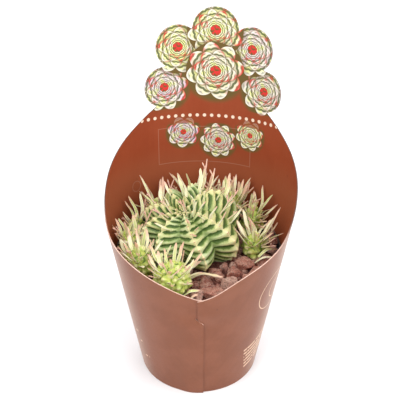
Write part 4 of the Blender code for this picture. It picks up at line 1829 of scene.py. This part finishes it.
SIDE_HEADS = (
    side_head("head_front", (15, 3), (-13.5, -33.5, 11, 16, 7, 13)),
    side_head("head_front_left", (14, 4), (-34.4, -20.2, 9, 15, 9, 16)),
    side_head("head_left", (11, 3), (-42.2, -2.5, 6.6, 14, 9, 16)),
    side_head("head_left_back", (9, 3), (-40.2, 14, 6, 13, 9, 15)),
    side_head("head_back_left", (10, 3), (-29, 31, 6.2, 16, 11, 17)),
    side_head("head_back", (11, 4), (-6, 42.8, 5.8, 19, 12, 18)),
    side_head("head_back_right", (11, 4), (18.2, 38.4, 6.2, 18, 12, 18)),
    side_head("head_right_back", (12, 4), (32.2, 26.5, 7, 16, 11, 17)),
    side_head("head_right", (12, 4), (33.8, 3, 6.8, 13, 8, 15)),
)
HEADS = (MELON, *SIDE_HEADS)


# Blades and stalks


@dataclass(frozen=True)
class Growth:
    """A blade or a stalk: the line it follows, the prong at its tip if it forks, and its width."""

    head: str
    line: tuple[Vector, ...]
    prong: tuple[Vector, ...]
    width: float


@dataclass
class Planting:
    """Finds places for blades and stalks, by golden turns and a seeded draw, each clear of the rest."""

    card: CardSleeve
    seed: int = 5
    golden_deg: float = 137.508
    blade_width: float = 2.5 * MM
    stalk_width: float = 1.0 * MM
    root_depth: float = 1.3 * MM
    tries: int = 90
    steps: int = 12
    fork_share: float = 0.68
    wall_gap: float = 1.6 * MM
    ground_gap: float = 6 * MM
    body_gap: float = CLEARANCE + 0.25 * MM
    own_gap: float = 0.1 * MM
    other_gap: float = CLEARANCE + 0.2 * MM
    rooted_share: float = 0.3
    stray_deg: float = 35
    rise: tuple[float, float] = (0.2, 0.9)
    sway: float = 0.3
    upwards: tuple[float, float] = (-0.1, 0.5)
    outwards: tuple[float, float] = (-0.15, 0.3)
    width_shares: tuple[float, float] = (0.8, 1.1)
    stalk_length: float = 1.25
    stalk_bend: float = 0.4
    prong_ahead: float = 0.26
    prong_aside: float = 0.2
    snug: float = 1.0
    limp: float = 1.0
    young_snug: float = 0.7
    young_limp: float = 1.7
    crown_more: float = 1.0
    left_more: float = 2.0
    right_more: float = 3.6
    placed: list[Growth] = field(default_factory=list)

    def __post_init__(self) -> None:
        """Builds the plain bodies from which distances are measured."""
        self.bodies = {}
        for head in HEADS:
            bm = head.body(head.rings, head.steps, head.relief)
            self.bodies[head.name] = BVHTree.FromBMesh(bm)
            bm.free()
        self.points = np.empty((0, 3))
        self.widths = np.empty(0)
        self.owners: list[str] = []

    def is_clear(self, growth: Growth) -> bool:
        """Whether a growth stays in the sleeve, above the stones and clear of all but its own head.

        Args:
            growth: The growth to test.

        Returns:
            True if it is clear.
        """
        for k, point in enumerate(growth.line + growth.prong):
            if math.hypot(point.x, point.y) > self.card.inside(point.z) - self.wall_gap:
                return False
            if k > 1 and point.z < GROUND + self.ground_gap:
                return False
            for name, tree in self.bodies.items():
                if name == growth.head and k < self.rooted_share * self.steps:
                    continue
                if tree.find_nearest(point)[3] < (growth.width / 2 + self.body_gap) * self.snug:
                    return False
        if not self.owners:
            return True
        own = np.array([owner == growth.head for owner in self.owners])
        need = (growth.width + self.widths) / 2 + np.where(own, self.own_gap, self.other_gap)
        places = np.array(growth.line + growth.prong)
        apart = np.linalg.norm(places[:, None] - self.points[None], axis=2)
        return not (apart < need * self.snug).any()

    def keep(self, growth: Growth) -> None:
        """Adds a growth to those that the next ones stay clear of.

        Args:
            growth: The growth.
        """
        places = growth.line + growth.prong
        self.placed.append(growth)
        self.points = np.vstack([self.points, np.array(places)])
        self.widths = np.append(self.widths, [growth.width] * len(places))
        self.owners += [growth.head] * len(places)

    def sprout(
        self, head: Head, rng: random.Random, k: int, count: int, stalk: bool, young: float
    ) -> Growth:
        """One try at a growth: rooted on the head's surface, rising and then bending outwards.

        Args:
            head: The head that it grows from.
            rng: The seeded draw.
            k: Which of the head's growths it is.
            count: How many there are.
            stalk: Whether it is a stalk.
            young: Share by which it is shorter and slimmer than a grown one.

        Returns:
            The growth.
        """
        around = math.radians(k * self.golden_deg + rng.uniform(-self.stray_deg, self.stray_deg))
        lowest, highest = head.polar
        polar = math.radians(lowest + (highest - lowest) * math.sqrt((k + rng.uniform(0.1, 0.9)) / count))
        heading = spun(math.sin(polar), math.pi - around, math.cos(polar))
        root = self.bodies[head.name].ray_cast(head.core, heading)[0]
        shortest, longest = head.lengths
        length = rng.uniform(shortest, longest) * (self.stalk_length if stalk else 1.0)
        start = (heading + Vector((0, 0, rng.uniform(*self.rise)))).normalized()
        sideways = Vector((math.cos(around), math.sin(around), 0)) * rng.uniform(-self.sway, self.sway)
        upwards = Vector((0, 0, rng.uniform(*self.upwards) * math.sin(polar)))
        bend = (heading * rng.uniform(*self.outwards) + sideways + upwards) * length
        bend *= (self.stalk_bend if stalk else 1.0) * self.limp * (1 - young)
        length *= 1 - young
        root -= self.root_depth * start
        shares = [j / self.steps for j in range(self.steps + 1)]
        line = [root + start * length * share + bend * share**2 for share in shares]
        if not stalk:
            width = self.blade_width * rng.uniform(*self.width_shares) * (1 - young / 2)
            return Growth(head.name, tuple(line), (), width)
        fork, ahead = along(line, self.fork_share)
        aside = ahead.cross(Vector((0.3, 0.8, 0.5))).normalized()
        reach = (self.prong_ahead * ahead + self.prong_aside * aside) * length
        prong = (fork, fork + 0.5 * reach, fork + reach)
        return Growth(head.name, tuple(line), prong, self.stalk_width)

    def grow(self) -> None:
        """Places the growths that the frame's solids have."""
        rng = random.Random(self.seed)
        for head in HEADS:
            for stalk, count in ((False, head.blades), (True, head.stalks)):
                for k in range(count):
                    self.place(self.tries, head, rng, k, count, stalk, 0.0)

    def place(self, tries: int, *wish: Head | random.Random | float) -> None:
        """Places one growth, if one of the tries is clear.

        Args:
            tries: How often to try.
            wish: What each try is asked for.
        """
        for _ in range(tries):
            growth = self.sprout(*wish)
            if self.is_clear(growth):
                self.keep(growth)
                return

    def fill(self, seed: int, tries: int) -> None:
        """Adds the younger growths that fill each head, and the tuft on the large head's crown.

        Args:
            seed: Seed of the draws.
            tries: How often to try each.
        """
        rng = random.Random(seed)
        self.snug, self.limp = self.young_snug, self.young_limp
        tuft = replace(MELON, polar=(4, 24), blades=6)
        for head in (tuft, *HEADS):
            beside = self.right_more if head.x > 0 else self.left_more
            extra = round((self.crown_more if head.name == MELON.name else beside) * head.blades)
            for k in range(extra):
                self.place(tries, head, rng, k, extra, k % 6 == 5, rng.uniform(0.0, 0.6))


FALLEN_STEPS = 8


@dataclass(frozen=True)
class Fallen:
    """A blade or stalk on the gravel: the places it passes over, its width and its lift, in millimetres."""

    places: tuple[tuple[float, float], ...]
    width: float
    lift: float = 0.0

    def laid(self, stones: BVHTree) -> Growth:
        """Lays it on the stones.

        Args:
            stones: What it lies on.

        Returns:
            Its line.
        """
        rough = [Vector((x * MM, y * MM, 0.0)) for x, y in self.places]
        line = []
        for k in range(FALLEN_STEPS + 1):
            place = along(rough, k / FALLEN_STEPS)[0]
            hit = stones.ray_cast(place + Vector((0, 0, 0.2)), Vector((0, 0, -1)))[0]
            line.append(Vector((place.x, place.y, hit.z if hit else GRAVEL_TOP)))
        highest = [max(p.z for p in line[max(k - 2, 0) : k + 3]) for k in range(len(line))]
        for k, point in enumerate(line):
            arch = self.lift * math.sin(k / FALLEN_STEPS * math.pi)
            point.z = highest[k] + (0.4 * self.width + arch) * MM
        for _ in range(2):
            line[1:-1] = [(a + b * 2 + c) / 4 for a, b, c in zip(line, line[1:], line[2:], strict=False)]
        return Growth("", tuple(line), (), self.width * MM)


FALLEN = (
    Fallen(((-6, -27.4), (2, -27.6), (9, -28.6), (16.4, -30.4)), 2.0, 0.3),
    Fallen(((-7.2, -42.2), (-2, -43.6), (3.7, -42.0)), 2.6, 0.5),
    Fallen(((-5.7, -45.0), (-1.5, -46.4), (2.7, -46.0)), 2.2, 0.3),
    Fallen(((-22, -36), (-19.5, -39.5), (-15, -41)), 2.0, 0.6),
    Fallen(((33, 1.5), (38, 9), (44.2, 13.4)), 2.2, 3.0),
    Fallen(((37, -8), (43, -3), (48.5, 4)), 2.4, 3.5),
    Fallen(((34, -10), (40, -10.5), (47, -6)), 1.8, 2.5),
)


class GrowthKind(Enum):
    """What a swept piece shows."""

    BLADE = "blades"
    STALK = "stalks"


SECTIONS = {
    GrowthKind.BLADE: {"sides": 8, "flatness": 0.26, "fold": 0.45},
    GrowthKind.STALK: {"sides": 6, "flatness": 1.0, "fold": 0.0},
}
BLADE_FORM = ((0.0, 0.72), (0.2, 0.88), (0.5, 0.98), (0.75, 0.9), (0.92, 0.66), (1.0, 0.24))
STALK_FORM = ((0.0, 1.15), (0.3, 0.95), (0.7, 0.8), (0.82, 1.15), (0.92, 0.75), (1.0, 0.9))
PRONG_FORM = ((0.0, 0.8), (0.5, 0.75), (0.8, 1.1), (1.0, 0.5))
SWELL = 0.95


@dataclass
class GrowthSet:
    """The blades or the stalks of one head, swept along their lines."""

    name: str
    kind: GrowthKind
    growths: list[Growth]
    points: int = 11
    curl: float = 0.13
    curl_turn: float = 2.4
    curl_waves: float = 0.75
    stalk_curl: float = 0.5
    prong_from: float = 0.65

    def lines(self) -> Mesh:
        """The lines with the reach, the place along and the tone that the sweep reads.

        Returns:
            A mesh of edges.
        """
        places, edges, reaches, shares, tones = [], [], [], [], []
        rng = random.Random(self.name)
        for k, growth in enumerate(self.growths):
            stalk = self.kind is GrowthKind.STALK
            tone = rng.random()
            span = growth.line[-1] - growth.line[0]
            aside = span.cross(Vector((0, 0, 1))).normalized() * span.length
            bend = aside * self.curl * math.sin(k * self.curl_turn) * (self.stalk_curl if stalk else 1.0)
            paths = [(growth.line, STALK_FORM if stalk else BLADE_FORM, 0.0)]
            if growth.prong:
                paths.append((growth.prong, PRONG_FORM, self.prong_from))
            for line, form, start in paths:
                first = len(places)
                for j in range(self.points):
                    share = j / (self.points - 1)
                    far = start + (1 - start) * share
                    swing = far * math.sin(self.curl_waves * math.tau * far)
                    places.append(along(line, share)[0] + bend * swing)
                    reaches.append(through(form, share) * growth.width / 2 * SWELL)
                    shares.append(far)
                    tones.append(tone)
                edges += [(first + j, first + j + 1) for j in range(self.points - 1)]
        return points_of(self.name, places, edges, reach=reaches, along=shares, tone=tones)

    def build(self, finish: Look, *nodes: str) -> Piece:
        """Sweeps them.

        Args:
            finish: Their material.
            nodes: The nodes that they stand for.

        Returns:
            The piece.
        """
        return settle(sweep(self.name, self.lines(), finish, **SECTIONS[self.kind]), "flesh", *nodes)


# Gravel


@dataclass(frozen=True)
class Stone:
    """One lava stone: its middle, its mean radius and its turn."""

    middle: Vector
    radius: float
    turn: float


@dataclass
class LavaGravel:
    """The bed of lava gravel: a bed darkened as painted shade between the stones, loose top stones and the
    small ones between them.
    """

    card: CardSleeve
    planting: Planting
    seed: int = 11
    radii: tuple[float, float] = (3.4 * MM, 6.4 * MM)
    attempts: int = 2600
    flatness: float = 0.78
    flats: int = 13
    broken: tuple[float, float] = (0.56, 0.88)
    heaped: tuple[Triple, ...] = (
        (44.4, 21.5, 4.0), (43.6, 12.8, 4.6), (45.8, 4.8, 3.4), (41.6, -1.6, 3.0), (43.4, -9.4, 3.6),
    )
    spread: tuple[float, float] = (0.8, 1.12)
    corners: int = 12
    shrinking: float = 0.6
    bedding: tuple[float, float] = (0.1, 0.35)
    apart: float = 0.8
    small_radii: tuple[float, float] = (1.6 * MM, 3.0 * MM)
    crumb_radii: tuple[float, float] = (0.4 * MM, 1.1 * MM)
    wall: float = 1.0 * MM
    low: float = 78.3 * MM
    small: int = 420
    crumbs: int = 900
    stones: list[Stone] = field(default_factory=list)

    def too_near(self, middle: Vector, radius: float, head: Head) -> bool:
        """Whether a stone of this radius would meet the head or lie inside the hole round its foot.

        Args:
            middle: The stone's middle.
            radius: Its radius.
            head: The head.

        Returns:
            True if it would.
        """
        if math.hypot(middle.x - head.x, middle.y - head.y) < COLLAR_SHARE * head.radius + radius / 2:
            return True
        return self.planting.bodies[head.name].find_nearest(middle)[3] < radius + CLEARANCE

    def lay(self) -> None:
        """Lays the stones that the frame's solid has, the largest first.

        The draws for the solid's corners are made here too, so that those after them stay the same.
        """
        rng = random.Random(self.seed)
        low, high = self.radii
        edge = self.card.inside(GRAVEL_TOP) - CLEARANCE - self.wall
        for attempt in range(self.attempts):
            radius = high - (high - low) * (attempt / self.attempts) ** self.shrinking
            reach = (edge - self.spread[1] * radius - CLEARANCE) * math.sqrt(rng.random())
            middle = spun(reach, rng.uniform(0, math.tau))
            spin = rng.uniform(0, math.tau)
            for _ in range(self.corners):
                rng.uniform(*self.spread)
            middle.z = GRAVEL_TOP + rng.uniform(*self.bedding) * radius
            if any(self.too_near(middle, self.spread[1] * radius, head) for head in HEADS):
                continue
            if any((middle - s.middle).xy.length < self.apart * (radius + s.radius) for s in self.stones):
                continue
            self.stones.append(Stone(middle, radius, spin))

    def hulls(self) -> Mesh:
        """Every top stone as a ball with flats broken off it.

        Returns:
            One mesh, with the tone of each stone.
        """
        bm = bmesh.new()
        layer = bm.verts.layers.float.new("tone")
        rng = random.Random(self.seed)
        extra = []
        for x, y, r in self.heaped:
            middle = Vector((x * MM, y * MM, GRAVEL_TOP + r * MM / 2))
            if all((middle - stone.middle).length >= 0.6 * r * MM for stone in self.stones):
                extra.append(Stone(middle, r * MM, x))
        for stone in (*self.stones, *extra):
            made = bmesh.ops.create_icosphere(bm, subdivisions=4, radius=1.2)["verts"]
            tone = rng.random()
            flats = []
            for _ in range(self.flats):
                away = Vector((rng.gauss(0, 1), rng.gauss(0, 1), rng.gauss(0, 1))).normalized()
                flats.append((away, rng.uniform(*self.broken)))
            for vert in made:
                vert[layer] = tone
                for away, reach in flats:
                    vert.co -= away * max(vert.co.dot(away) - reach, 0.0)
            size = Matrix.Diagonal((stone.radius, stone.radius, self.flatness * stone.radius, 1))
            place = Matrix.Translation(stone.middle) @ size @ Matrix.Rotation(stone.turn, 4, "Z")
            bmesh.ops.transform(bm, matrix=place, verts=made)
        return mesh_of("lava_stones", bm)

    def scattered(self, name: str, count: int, sizes: tuple[float, float], level: float) -> Mesh:
        """Points for small stones or crumbs, clear of the heads' feet.

        Args:
            name: The mesh's name.
            count: How many to try.
            sizes: Smallest and largest radius.
            level: Height of their middles over the bed, as a share of their radius.

        Returns:
            A mesh of points with a size, a spin and a tone.
        """
        rng = random.Random(name)
        edge = self.card.inside(GRAVEL_TOP) - CLEARANCE - self.wall
        places, reaches, spins, tones = [], [], [], []
        for _ in range(count):
            size = rng.uniform(*sizes)
            reach = (edge - 1.3 * size) * math.sqrt(rng.random())
            middle = spun(reach, rng.uniform(0, math.tau), GRAVEL_TOP + level * size)
            spin = [rng.uniform(0, math.tau) for _ in range(3)]
            tone = rng.random()
            if any(self.too_near(middle, 1.1 * size, head) for head in HEADS):
                continue
            places.append(middle)
            reaches.append(size)
            spins.append(spin)
            tones.append(tone)
        return points_of(name, places, [], size=reaches, spin=spins, tone=tones)

    def build(self) -> Piece:
        """Builds the bed, the top stones, the small stones and the crumbs.

        Returns:
            The top stones.
        """
        self.lay()
        edge = self.card.inside(self.low) - self.wall - 2.5 * CLEARANCE
        outline = [(0, self.low), (edge, self.low), (edge, GRAVEL_TOP - 0.4 * MM)]
        outline += [(edge * share, GRAVEL_TOP) for share in (0.96, 0.8, 0.6, 0.4, 0.2, 0)]
        # The bed and the crumbs take the darker copy of the lava, as painted shade between the stones.
        light, dark = LAVA.material(), LAVA_DARK.material()
        bed = broken_rock("gravel_bed", turned("gravel_bed", outline, 72), dark, level=1)
        stones = broken_rock("lava_stones", self.hulls(), light, level=0, grain=0.35 * MM)
        stones.data.set_sharp_from_angle(angle=math.radians(24))
        spots = self.scattered("small_stones", self.small, self.small_radii, 0.1)
        small = scatter("small_stones", spots, light)
        spots = self.scattered("stone_crumbs", self.crumbs, self.crumb_radii, 0.3)
        crumbs = scatter("stone_crumbs", spots, dark, level=1)
        for piece in (stones, small, bed, crumbs):
            settle(piece, "lava", "gravel")
        return stones


# Bodies of the heads


def build_bodies() -> None:
    """Builds the fine body of each head."""
    melon = replace(MELON, valley_depth=0.27, valley_shape=1.2, slant=0.0)
    mesh = mesh_of("melon_body", melon.body(170, FINE_MELON_STEPS, 0.0))
    settle(rib_relief("melon_body", mesh, MELON_FLESH.material()), "flesh", MELON.name)
    finish = SIDE_FLESH.material()
    for k, head in enumerate(SIDE_HEADS):
        name = f"{head.name}_body"
        mesh = mesh_of(name, head.body(64, FINE_SIDE_STEPS, 0.0))
        settle(tubercles(name, mesh, finish, spacing=3.3 * MM, height=1.9 * MM, seed=k), "flesh", head.name)


def build_growths(planting: Planting, stones: Piece) -> None:
    """Builds the blades and stalks of each head, and those that lie on the stones.

    Args:
        planting: Where they grow.
        stones: The top stones.
    """
    blade, stalk = BLADE_FLESH.material(), STALK_FLESH.material()
    tree = BVHTree.FromObject(stones, bpy.context.evaluated_depsgraph_get())
    laid = [fallen.laid(tree) for fallen in FALLEN]
    GrowthSet("fallen_stalk", GrowthKind.STALK, laid[:1]).build(stalk)
    GrowthSet("fallen_blades", GrowthKind.BLADE, laid[1:]).build(blade)
    for head in HEADS:
        for kind, finish in ((GrowthKind.BLADE, blade), (GrowthKind.STALK, stalk)):
            forked = kind is GrowthKind.STALK
            own = [one for one in planting.placed if one.head == head.name and bool(one.prong) == forked]
            GrowthSet(f"{head.name}_{kind.value}", kind, own).build(finish, head.name)


# Studio


@dataclass
class Studio:
    """Pale floor, soft light and the camera at the photograph's angle."""

    azimuth_deg: float = 4.0
    elevation_deg: float = 35.0
    distance: float = 0.6
    target: Triple = (0.0007, 0.0, 0.1227)
    focal_pixels: float = 1006.5
    frame_pixels: float = 400.0
    sensor: float = 36.0
    floor_half: float = 3.0
    lights: tuple[tuple[str, Triple, float, float], ...] = (
        ("key_light", (-0.55, -0.75, 1.25), 0.9, 10.4), ("top_light", (0.45, -0.1, 1.25), 0.6, 3.2),
        ("fill_light", (0.8, -0.6, 0.7), 0.8, 4.6), ("back_light", (0.1, 0.9, 1.0), 0.8, 3.6),
    )

    def light(self, name: str, place: Vector, size: float, power: float) -> None:
        """Adds a soft square light that faces the object.

        Args:
            name: The light's name.
            place: Where it stands.
            size: Length of its side.
            power: Its power in watts.
        """
        data = bpy.data.lights.new(name, "AREA")
        data.size = size
        data.energy = power
        lamp = bpy.data.objects.new(name, data)
        lamp.location = place
        aim = place - Vector(self.target)
        lamp.rotation_euler = aim.to_track_quat("Z", "Y").to_euler()
        bpy.context.scene.collection.objects.link(lamp)

    def build(self) -> None:
        """Builds the floor, the lights, the sky and the camera."""
        bm = bmesh.new()
        bmesh.ops.create_grid(bm, x_segments=8, y_segments=8, size=self.floor_half)
        piece_of("studio_floor", mesh_of("studio_floor", bm), FLOOR.material())
        for name, place, size, power in self.lights:
            self.light(name, Vector(place), size, power)
        sky = bpy.data.worlds.new("studio_sky")
        sky.use_nodes = True
        sky.node_tree.nodes["Background"].inputs["Color"].default_value = shade(250, 251, 255)
        sky.node_tree.nodes["Background"].inputs["Strength"].default_value = 0.84
        scene = bpy.context.scene
        scene.world = sky
        scene.view_settings.view_transform = "Standard"
        azimuth, elevation = math.radians(self.azimuth_deg), math.radians(self.elevation_deg)
        back = spun(math.cos(elevation), math.pi - azimuth, math.sin(elevation))
        data = bpy.data.cameras.new("camera")
        data.sensor_width = self.sensor
        data.lens = self.focal_pixels / self.frame_pixels * self.sensor
        camera = bpy.data.objects.new("camera", data)
        camera.location = Vector(self.target) + self.distance * back
        camera.rotation_euler = back.to_track_quat("Z", "Y").to_euler()
        scene.collection.objects.link(camera)
        scene.camera = camera


def main() -> None:
    """Builds every piece round the frame."""
    logging.basicConfig(level=logging.INFO, format="%(message)s")
    card = CardSleeve()
    card.build()
    NurseryPot(card).build()
    dress_soil()
    planting = Planting(card)
    planting.grow()
    stones = LavaGravel(card, planting).build()
    planting.fill(seed=8, tries=12)
    build_bodies()
    build_growths(planting, stones)
    Studio().build()


if __name__ == "__main__":
    main()
